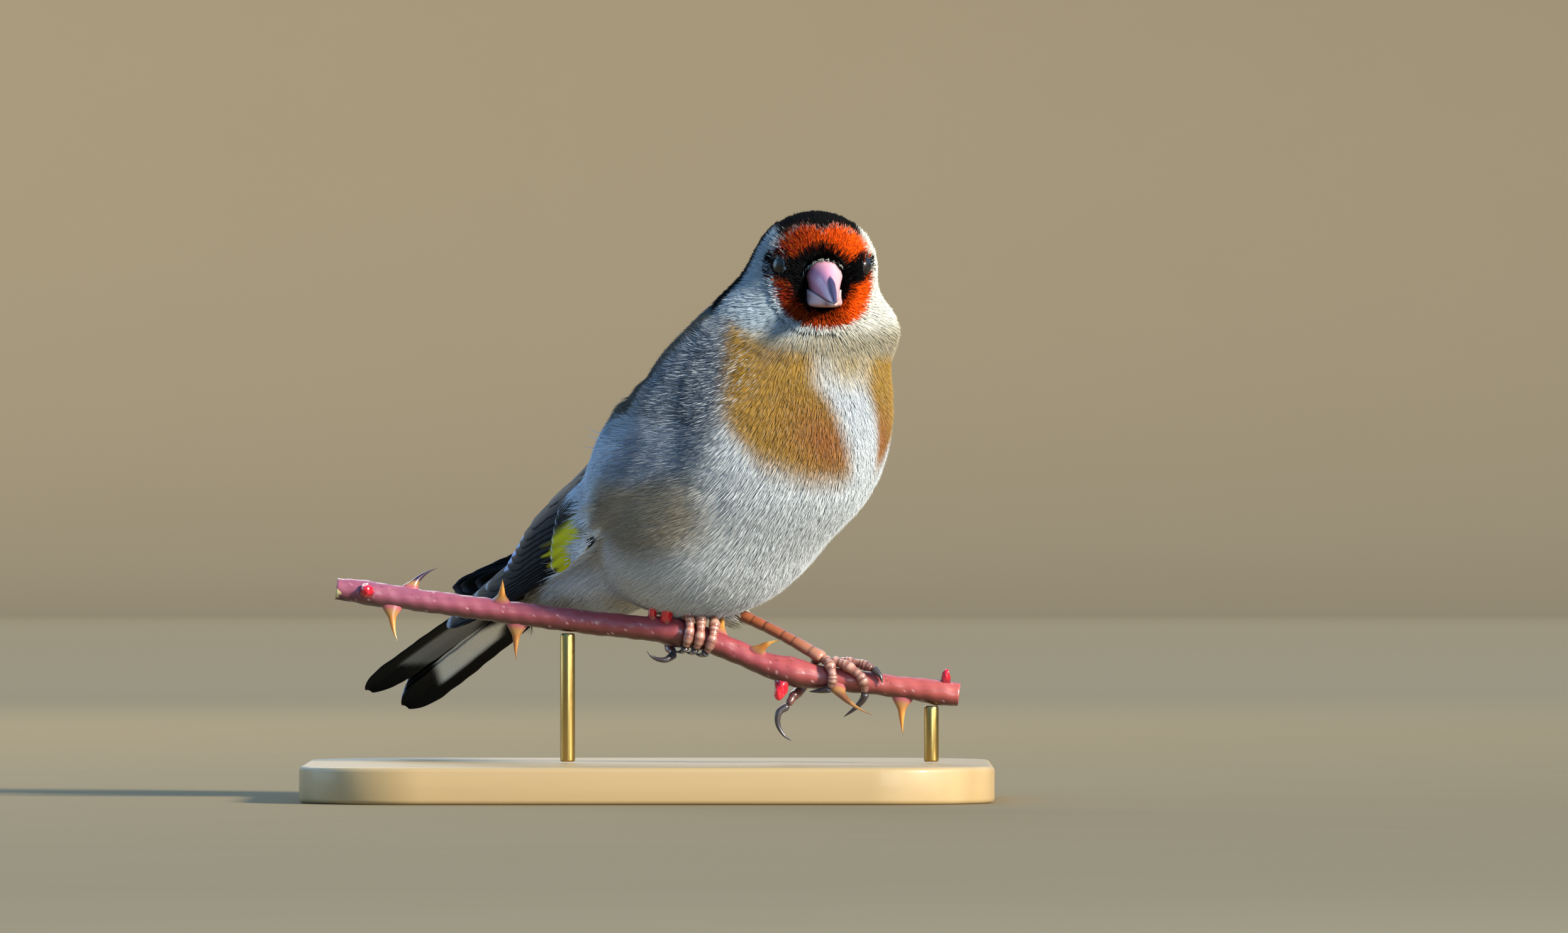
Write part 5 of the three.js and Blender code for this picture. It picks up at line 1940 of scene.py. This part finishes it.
@dataclass
class Coat:
    """The small feathers, as fans of fine closed barbs that follow the lie of the plumage.

    Attributes:
        skin: The skin that they root in and the surface that they fill.
        wings: The folded wings, which carry no small feathers where they are bare.
        fan: How many barbs a small feather has.
        most: The most barbs in one piece.
        patch: How wide a barb's patch of the bake map is.
        over_wing: How high barbs lie over a wing.
        search: How far over and under a barb the surface is looked for.
        hair: Width of a bristle and of a hair of the leg's tuft.
        albedo: How much of their colour's light the barbs give back.
        draw: Where its random numbers come from.
        cover_tree: Finds places on the surface that the coat fills.
        wing_tree: Finds places on the wings.
    """

    skin: Skin
    wings: Sequence[bpy.types.Object]
    fan: int = 6
    most: int = 32000
    patch: float = 0.003
    over_wing: float = 0.3
    search: tuple[float, float] = (6.0, 3.0)
    hair: float = 0.17
    albedo: float = 0.55
    draw: np.random.Generator = field(default_factory=lambda: np.random.default_rng(SEED))
    cover_tree: BVHTree = field(init=False)
    wing_tree: BVHTree = field(init=False)

    def __post_init__(self) -> None:
        """Makes the search trees of what the barbs rest on."""
        self.cover_tree = tree_of(self.skin.cover)
        self.wing_tree = tree_of(*(wing.data for wing in self.wings))

    def build(self) -> None:
        """Sows the feathers over the whole skin and makes one piece of each tract."""
        roots, normals = self._sow()
        above = [Vector(p + n * 0.2) * MM for p, n in zip(roots, normals)]
        hits = [self.wing_tree.ray_cast(p, Vector(n), 9 * MM)[0] for p, n in zip(above, normals)]
        bare = np.array([hit is None for hit in hits])
        roots, normals = roots[bare], normals[bare]
        tracts = self._tracts(roots)
        log.info("%d small feathers, %d left out under the wings", len(roots), (~bare).sum())
        for number, tract in enumerate(Tract):
            mine = np.flatnonzero(tracts == number)
            mine = mine[np.argsort(roots[mine] @ BIRD.rows[0] + roots[mine][:, 2], kind="stable")]
            barbs = self._barbs(roots[mine], normals[mine], LAYS[tract])
            count = len(barbs["places"])
            parts = math.ceil(count / self.most)
            for k in range(parts):
                chosen = slice(k * count // parts, (k + 1) * count // parts)
                name = tract.value if parts == 1 else f"{tract.value}_{k + 1}"
                self._piece(name, {key: value[chosen] for key, value in barbs.items()})
        self._bristles()
        self._leg_tuft()

    def _sow(self) -> tuple[Array, Array]:
        """Scatters feather roots over the skin.

        Returns:
            The roots and the skin's normals there.
        """
        mesh = self.skin.mesh
        places = points_of(mesh)
        bends = np.empty(len(places) * 3)
        mesh.vertex_normals.foreach_get("vector", bends)
        bends = bends.reshape(-1, 3)
        mesh.calc_loop_triangles()
        corners = np.empty(len(mesh.loop_triangles) * 3, int)
        mesh.loop_triangles.foreach_get("vertices", corners)
        corners = corners.reshape(-1, 3)
        a, b, c = (places[corners[:, k]] for k in range(3))
        area = np.linalg.norm(np.cross(b - a, c - a), axis=1) / 2
        densities = np.array([LAYS[tract].density for tract in Tract]) / self.fan
        wanted = area * densities[self._tracts((a + b + c) / 3)]
        counts = np.floor(wanted + self.draw.random(len(wanted))).astype(int)
        chosen = np.repeat(corners, counts, axis=0)
        share = self.draw.random((len(chosen), 2))
        share = np.where(share.sum(1, keepdims=True) > 1, 1 - share, share)
        share = np.c_[share, 1 - share.sum(1)][..., None]
        return (places[chosen] * share).sum(1), unit((bends[chosen] * share).sum(1))

    def _tracts(self, points: Array) -> Array:
        """Which tract each of some places belongs to, as its number.

        Args:
            points: Places in the part's frame.

        Returns:
            Numbers in the order of Tract.
        """
        ahead, left, up = BIRD.into(points).T
        past = MARKINGS.past_fringe(BIRD.into(points))
        front, side, rise = HEAD.into(points).T
        collar = np.interp(side, MARKINGS.collar_left, MARKINGS.collar_up)
        on_head = (MARKINGS.headness(points) > 0.5) & (points[:, 2] > collar - 0.5)
        spine, ring = spine_height(ahead), round_breast(ahead, left)
        choices = [
            (on_head & (MARKINGS.faceness(points) > 0.5), Tract.FACE),
            (on_head & ((rise > 7.2) | (front < -8)), Tract.CROWN),
            (on_head & (rise < -7.5), Tract.THROAT),
            (on_head & (side < 0), Tract.CHEEK_RIGHT),
            (on_head, Tract.CHEEK_LEFT),
            ((np.abs(left) > 8.5) & (np.abs(past - 4) < 6.5) & (up < 58) & (up > 34), Tract.FLUFF),
            ((ahead < -14) & (up < spine - 1), Tract.VENT),
            ((ahead < -8) & (up >= spine - 1), Tract.RUMP),
            ((up > spine + 2) & ((past < 0) | (np.abs(left) < 10)) & (ring > 60), Tract.MANTLE),
            ((ring < 78) & (up > 53), Tract.BREAST),
            ((np.abs(left) < 9) | ((ring < 60) & (up < 53)), Tract.BELLY),
            (left < 0, Tract.FLANK_RIGHT),
        ]
        numbers = {tract: i for i, tract in enumerate(Tract)}
        return np.select(
            [where for where, _ in choices],
            [numbers[tract] for _, tract in choices],
            default=numbers[Tract.FLANK_LEFT],
        )

    def _lie(self, points: Array, normals: Array) -> Array:
        """The way the feathers lie: back from the bill on the head, back and down on the body.

        Args:
            points: Roots.
            normals: The skin's normals there.

        Returns:
            A unit vector along the skin for each.
        """
        places = BIRD.into(points)
        ahead, left, up = places.T
        past = MARKINGS.past_fringe(places)
        drop = np.interp(round_breast(ahead, left), (0, 30, 55, 78), (78, 64, 44, 6))
        drop = drop - 50 * ease(7, 0, past) * ease(54, 60, up) * ease(80, 74, up)
        drop = mix(drop[:, None], 34, ease(50, 36, up))[:, 0]
        on_back = ease(-1, 3, up - spine_height(ahead) - 2)
        on_back = on_back * (1 - ease(9, 13, np.abs(left)) * ease(-1.5, 0.5, past))
        drop = np.radians(drop * (1 - on_back) + 32 * on_back)
        body = np.stack([-np.cos(drop), 0.1 * np.sign(left), -np.sin(drop)], axis=-1) @ BIRD.rows
        way = mix(body, unit(points - HEAD.out([9.5, 0, -0.5])), MARKINGS.headness(points))
        drift = np.sin(points @ [0.31, 0.27, -0.22]) + 0.5 * np.sin(points @ [-0.9, 0.6, 0.8])
        way = way + np.cross(normals, way) * 0.06 * drift[:, None]
        return unit(way - normals * (way * normals).sum(1, keepdims=True))

    def _barbs(self, roots: Array, normals: Array, lay: Lay) -> dict[str, Array]:
        """Grows a fan of barbs from each root.

        Args:
            roots: The small feathers' roots.
            normals: The skin's normals there.
            lay: How they lie.

        Returns:
            Five places, three colours and a bake map place for each barb.
        """
        n, m = len(roots), self.fan
        way = self._lie(roots, normals)
        side = np.cross(normals, way)
        turn = np.tile(np.linspace(-1, 1, m), n) + self.draw.normal(0, lay.loose, n * m)
        roots, normals, way, side = (np.repeat(a, m, axis=0) for a in (roots, normals, way, side))
        angle = np.radians(lay.fan) * turn + np.repeat(self.draw.normal(0, 0.05, n), m)
        long = lay.length * (1 - 0.16 * turn**2) * np.repeat(self.draw.normal(1, 0.08, n), m)
        long = long * self.draw.normal(1, lay.loose, n * m)
        way = way * np.cos(angle)[:, None] + side * np.sin(angle)[:, None]
        roots = roots + side * (turn * lay.width * 1.2)[:, None]
        swell = sum(
            more.height * np.exp(-(((BIRD.into(roots) - more.at) ** 2).sum(1)) / more.reach**2)
            for more in SWELLS
        )
        high = lay.stand + swell + self.draw.normal(0, 0.12, n * m)
        low = high - 0.35 * coat_depth(roots) - 0.1
        half_way = roots + way * long[:, None] * 0.5
        middle = self._rest(half_way, normals, low, lay.climb)
        tip = self._rest(roots + way * long[:, None], normals, high, lay.climb)
        return {
            **self._blades(roots - normals * 0.1, middle, tip, normals, lay.width),
            "colours": self._colours(half_way, n, turn) * lay.bright,
            "uv": self._bake_map(roots),
        }

    def _blades(
        self, root: Array, middle: Array, tip: Array, normals: Array, width: float
    ) -> dict[str, Array]:
        """The five vertices of each barb and the ways that they face.

        Args:
            root: The barbs' roots.
            middle: Their middles.
            tip: Their tips.
            normals: The ways out of the coat.
            width: How wide they are.

        Returns:
            Their places and facings, each barbs by five by three.
        """
        side = unit(np.cross(normals, tip - root))
        out = unit(np.cross(tip - root, side))
        half = side * width * 0.5
        ridge = middle + out * width * 0.3
        return {
            "places": np.stack([root, middle - half, middle + half, ridge, tip], axis=1),
            "facings": np.stack([out, unit(out - side * 0.7), unit(out + side * 0.7), out, out], axis=1),
        }

    def _rest(self, points: Array, normals: Array, heights: Array, climb: float) -> Array:
        """Lays points so high over the coat's outer surface, and clear of the wings.

        Args:
            points: The points.
            normals: The ways out of the coat.
            heights: How high each goes.
            climb: How high a wing may lift them.

        Returns:
            The moved points.
        """
        rested = points.copy()
        start_high, most = self.search[0], sum(self.search) * MM
        for i, (p, n, h) in enumerate(zip(points, normals, heights)):
            start, way = Vector(p + n * start_high) * MM, Vector(-n)
            hit = self.cover_tree.ray_cast(start, way, most)
            out = start_high - hit[3] / MM + h if hit[0] is not None else 0.0
            if climb:
                wing = self.wing_tree.ray_cast(start, way, most)
                if wing[0] is not None and wing[3] > (start_high - climb) * MM:
                    out = max(out, start_high - wing[3] / MM + self.over_wing)
            rested[i] = p + n * out
        return rested

    def _bristles(self) -> None:
        """Makes the stiff pale and black bristles round the bill's root."""
        count, bill = 130, Bill()
        turn = np.radians(self.draw.normal(95, 52, count).clip(-40, 220))
        ahead, left, up = np.eye(3)
        out = spokes(turn, left, up)
        root = ahead * (bill.root - 0.5) + out * [0, bill.half_width + 0.35, bill.top + 0.25]
        long = self.draw.uniform(1.3, 2.6, count)[:, None]
        lean = self.draw.normal(0, 0.22, (count, 1)) * spokes(turn, up, -left)
        middle = root + (ahead + 0.28 * out + lean) * long * 0.5
        tip = root + (ahead * 0.9 - 0.02 * out + 1.5 * lean) * long
        pale = (self.draw.random(count) < 0.75) * (out[:, 2] > 0.55)
        colour = layered("0d0c10", ("b4b2a8", pale))
        hairs = [HEAD.out(a) for a in (root, middle, tip)]
        self._hairs("coat_bristles", hairs, unit(out @ HEAD.rows), colour, (0.6, 1.0, 1.1))

    def _leg_tuft(self) -> None:
        """Makes the white feathering where the left leg leaves the belly."""
        count = 420
        heel = BIRD.out(next(foot.heel for foot in FEET if foot.heel))
        way = unit(np.array([5.5, -2.0, -4.0]))
        side = unit(np.cross(way, [0, 1, 0]))
        turn, far = self.draw.uniform(0, 2 * math.pi, count), self.draw.uniform(0.3, 1, count) ** 0.5
        out = spokes(turn, side, np.cross(side, way))
        root = heel - way * 3.2 + out * (3.0 * far)[:, None]
        long = self.draw.uniform(3.4, 5.6, count)[:, None]
        tip = root + way * long - out * (1.5 * far)[:, None] + self.draw.normal(0, 0.3, (count, 3))
        colour = layered("f2f2f0", ("c9bfae", self.draw.random(count) ** 2))
        self._hairs("coat_leg_tuft", [root, (root + tip) / 2 + out * 0.35, tip], out, colour, (0.7, 1, 1))

    def _hairs(
        self, name: str, hairs: Sequence[Array], out: Array, colour: Array, tones: Sequence[float]
    ) -> None:
        """Makes a piece of loose hairs.

        Args:
            name: Its name.
            hairs: Their roots, middles and tips.
            out: The ways that they face.
            colour: A linear colour for each.
            tones: How bright it is at root, middle and tip; a darker root is painted shade.
        """
        barbs = self._blades(*hairs, out, self.hair)
        barbs["colours"] = colour[:, None] * np.array(tones)[:, None]
        barbs["uv"] = self._bake_map(hairs[0])
        self._piece(name, barbs)

    def _colours(self, roots: Array, count: int, turn: Array) -> Array:
        """Colours at a barb's root, middle and tip.

        Args:
            roots: The barbs' roots.
            count: How many small feathers they make up.
            turn: Where each barb sits in its fan, from -1 to 1.

        Returns:
            Three linear colours for each barb.
        """
        marks = MARKINGS.read(roots + self.draw.normal(0, 0.22, roots.shape))
        feather = np.repeat(self.draw.normal(1, 0.05, count), self.fan)
        uneven = self.draw.normal(1, 0.1 + 0.08 * marks.streak, len(roots))
        tone = feather * uneven * (1 - 0.08 * np.abs(turn))
        colour = marks.colour * (tone * (self.albedo + (0.95 - self.albedo) * marks.spark))[:, None]
        spark = marks.spark * self.draw.random(len(roots)) ** 2
        colour = mix(colour, rgb("ff8c14") * self.albedo, spark * 0.25)
        deep = marks.spark * (self.draw.random(len(roots)) < 0.25)
        colour = layered(colour, ("5a0a02", deep * 0.6))
        pale = marks.streak * ease(0.74, 0.94, self.draw.random(len(roots)))
        light = rgb("e4ebf4") * self.albedo
        stages = [
            mix(colour * (bright - dark * marks.streak)[:, None], light, (pale * share).clip(0, 1))
            for bright, dark, share in BARB_TONES
        ]
        return np.stack(stages, axis=1)

    def _bake_map(self, roots: Array) -> Array:
        """Each root's place on an unwrap of the skin: round the spine, and round the bill on the head.

        Args:
            roots: The barbs' roots.

        Returns:
            Two numbers for each.
        """
        ahead, left, up = BIRD.into(roots).T
        along = ahead * 0.8 + up * 0.6
        round_body = np.arctan2(left, up - spine_height(ahead) + 6) * 14
        front, side, rise = HEAD.into(roots).T
        polar = np.arccos(np.clip(front / np.maximum(np.linalg.norm(HEAD.into(roots), axis=1), 1e-6), -1, 1))
        angle = np.arctan2(side, rise)
        on_head = MARKINGS.headness(roots) > 0.5
        flat = np.where(on_head, polar * np.cos(angle) * 12, round_body)
        tall = np.where(on_head, 200 + polar * np.sin(angle) * 12, along)
        return np.stack([flat, tall], axis=-1)

    def _piece(self, name: str, barbs: dict[str, Array]) -> None:
        """Makes one mesh of many barbs.

        Args:
            name: The piece's name.
            barbs: Their places, colours and bake map places.
        """
        count = len(barbs["places"])
        starts = (np.arange(count) * 5)[:, None]
        pattern = np.array(BARB_FACES).ravel()
        corners = (starts + pattern).ravel()
        mesh = bpy.data.meshes.new(name)
        mesh.vertices.add(count * 5)
        mesh.vertices.foreach_set("co", (barbs["places"] * MM).ravel())
        mesh.loops.add(len(corners))
        mesh.loops.foreach_set("vertex_index", corners)
        mesh.polygons.add(len(corners) // 3)
        mesh.polygons.foreach_set("loop_start", np.arange(0, len(corners), 3))
        mesh.update(calc_edges=True)
        mesh.normals_split_custom_set_from_vertices(barbs["facings"].reshape(-1, 3))
        low, high = barbs["uv"].min(0), barbs["uv"].max(0)
        base = 0.02 + 0.96 * (barbs["uv"] - low) / np.maximum(high - low, 1e-6)
        spots = base[:, None] + (np.array(BARB_SPOTS) - 0.5) * self.patch
        layer = mesh.uv_layers.new(name="OFBake")
        layer.data.foreach_set("uv", spots.reshape(-1, 2)[corners].ravel())
        colours = np.repeat(barbs["colours"], (1, 3, 1), axis=1).reshape(-1, 3)
        place_piece(mesh, colours, DOWN, "plumage_head" if name.startswith(HEAD_COAT) else "plumage_body")


# Stand and studio


@dataclass
class Stand:
    """The display stand: a pale wooden base and two brass rods up to the stem.

    Attributes:
        length: The base's length along X.
        depth: Its depth.
        thick: Its thickness.
        corner: Radius of its corners.
        chamfer: Size of its rounded edges.
        rod_radius: A rod's radius.
        rods: Where they stand, by the name of their side.
        gap: How far a rod keeps off the base and the bark.
    """

    length: float = 112.0
    depth: float = 102.0
    thick: float = 6.0
    corner: float = 20.0
    chamfer: float = 0.8
    rod_radius: float = 1.2
    rods: tuple[tuple[str, float], ...] = (("left", -13.0), ("right", 46.0))
    gap: float = 0.3

    def build(self, stem: RoseStem) -> None:
        """Makes the base and the rods.

        Args:
            stem: What the rods hold.
        """
        self._base()
        for side, x in self.rods:
            top = stem.middle(x)[2] - stem.radius_at(x) - self.gap
            self._rod(side, x, top)

    def _base(self) -> None:
        """Makes the base from a slab with rounded corners and edges."""
        bm = bmesh.new()
        bmesh.ops.create_cube(bm, size=1)
        bmesh.ops.scale(bm, verts=bm.verts, vec=Vector((self.length, self.depth, self.thick)) * MM)
        bmesh.ops.translate(bm, verts=bm.verts, vec=(0, 0, self.thick / 2 * MM))
        kind = {"offset_type": "OFFSET", "profile": 0.5, "affect": "EDGES", "material": -1}
        upright = [e for e in bm.edges if abs(e.verts[0].co.z - e.verts[1].co.z) > self.thick / 2 * MM]
        bmesh.ops.bevel(bm, geom=upright, offset=self.corner * MM, segments=20, **kind)
        flat = [f for f in bm.faces if abs(f.normal.z) > 0.9]
        rims = list({edge for face in flat for edge in face.edges})
        bmesh.ops.bevel(bm, geom=rims, offset=self.chamfer * MM, segments=4, **kind)
        mesh = mesh_from(bm, "stand_slab")
        for face in mesh.polygons:
            face.use_smooth = abs(face.normal.z) < 0.999
        x, y, _ = points_of(mesh).T
        stripe = 0.5 + 0.5 * np.sin(y * 0.9 + 2 * np.sin(x * 0.03))
        place_piece(mesh, layered("a98f66", ("957a52", stripe * 0.3)), WOOD, "stand_wood", "stand_base")

    def _rod(self, side: str, x: float, top: float) -> None:
        """Makes one rod.

        Args:
            side: Its side's name.
            x: Where it stands.
            top: How high it reaches.
        """
        foot = self.thick + self.gap
        heights = [foot, foot + 0.15, foot + 0.3, top - 0.5, top - 0.15, top]
        radii = np.array([0.88, 0.97, 1, 1, 0.95, 0.8]) * self.rod_radius
        ring = spokes(around(40), np.array([1, 0, 0]), -VIEWER)
        rings = [np.array([x, STEM_Y, z]) + r * ring for z, r in zip(heights, radii)]
        mesh = lofted(f"stand_pillar_{side}", rings)
        place_piece(mesh, rgb("b79a5c"), BRASS, "stand_rod", f"stand_rod_{side}")


@dataclass
class Studio:
    """A pale round floor that curves up far off on every side, soft lights and the camera.

    Attributes:
        eye: Where the camera is.
        width: What it sees from side to side at the stem.
        sensor: Its sensor's width.
        floor_radius: How far out the floor stays flat.
        curve: Radius of the curve beyond it.
        wall: How high the wall goes.
    """

    eye: tuple[float, float, float] = (22.1, -3000.0, 54.2)
    width: float = 254.4
    sensor: float = 36.0
    floor_radius: float = 3700.0
    curve: float = 450.0
    wall: float = 600.0

    def build(self) -> None:
        """Makes the floor, the lights and the camera."""
        self._floor()
        self._lights()
        self._camera()

    def _floor(self) -> None:
        """Makes the floor by spinning its profile round the stand."""
        bm = bmesh.new()
        rim = self.floor_radius
        flat = [(r, 0.0) for r in np.linspace(0, rim, 18)]
        bend = np.radians(np.linspace(0, 90, 13)[1:])
        turned = [(rim + self.curve * math.sin(a), self.curve * (1 - math.cos(a))) for a in bend]
        profile = [*flat, *turned, (rim + self.curve, self.wall)]
        verts = [bm.verts.new((r * MM, 0, z * MM)) for r, z in profile]
        for pair in zip(verts, verts[1:]):
            bm.edges.new(pair)
        spin_round(bm, 96)
        weld(bm, 1e-5)
        bmesh.ops.recalc_face_normals(bm, faces=bm.faces)
        bm.faces.ensure_lookup_table()
        if bm.faces[0].normal.z < 0:
            bmesh.ops.reverse_faces(bm, faces=bm.faces)
        mesh = mesh_from(bm, "studio_floor")
        far = np.linalg.norm(points_of(mesh)[:, :2], axis=1)
        colours = layered(
            "7d6e54",
            ("8a7b62", ease(600, 1500, far)),
            ("766a57", ease(rim - 400, rim + 200, far)),
        )
        floor = dress(mesh, colours, PAPER)

    def _lights(self) -> None:
        """Sets a strong warm key at the right and the room's own bluish light."""
        target = Vector((10, -6, 50)) * MM
        for name, kind, place, size, power, colour in (
            ("key", "SUN", (680, -520, 430), 0.16, 8.5, (1.0, 0.93, 0.76)),
            ("front", "AREA", (420, -1150, 60), 0.4, 5.5, (0.72, 0.9, 1.0)),
            ("rim", "AREA", (-700, 150, 260), 0.5, 2.2, (0.5, 0.75, 1.0)),
            ("back", "AREA", (-250, 850, 620), 0.6, 4.0, (1.0, 0.98, 0.94)),
        ):
            lamp = bpy.data.lights.new(name, kind)
            setattr(lamp, "angle" if kind == "SUN" else "size", size)
            lamp.energy = power
            lamp.color = colour
            holder = add_object(name, lamp)
            holder.location = Vector(place) * MM
            holder.rotation_euler = (target - holder.location).to_track_quat("-Z", "Y").to_euler()
        world = bpy.data.worlds.new("room")
        world.use_nodes = True
        shade = world.node_tree.nodes["Background"]
        shade.inputs["Color"].default_value = (0.2, 0.55, 1.0, 1)
        shade.inputs["Strength"].default_value = 0.8
        bpy.context.scene.world = world
        bpy.context.scene.view_settings.view_transform = "Standard"

    def _camera(self) -> None:
        """Sets the camera level, far off, as wide as the photo."""
        lens = bpy.data.cameras.new("camera")
        distance = STEM_Y - self.eye[1]
        lens.sensor_width = self.sensor
        lens.lens = self.sensor * distance / self.width
        lens.clip_end = 20
        camera = add_object("camera", lens)
        camera.location = Vector(self.eye) * MM
        camera.rotation_euler = (math.pi / 2, 0, 0)
        bpy.context.scene.camera = camera


def wing_sheets() -> tuple[WingSheet, WingSheet]:
    """The right and the left folded wing."""
    return (
        WingSheet(-1, BIRD.out([20, -17.5, 60]), BIRD.out([-46.5, -5, 30.8])),
        WingSheet(1, BIRD.out([15, 17.5, 58]), BIRD.out([-57, -1.5, 34.9])),
    )


def main() -> None:
    """Builds every sub-assembly in order."""
    logging.basicConfig(level=logging.INFO, format="%(name)s: %(message)s")
    Studio().build()
    stem = RoseStem()
    stem.build()
    Stand().build(stem)
    for foot in FEET:
        foot.build(stem)
    sheets = wing_sheets()
    skin = Skin()
    skin.build(sheets)
    wings = [Wing(sheet).build() for sheet in sheets]
    Tail().build()
    for side in (-1, 1):
        Eye(side).build()
    Bill().build()
    Coat(skin, wings).build()


if __name__ == "__main__":
    main()
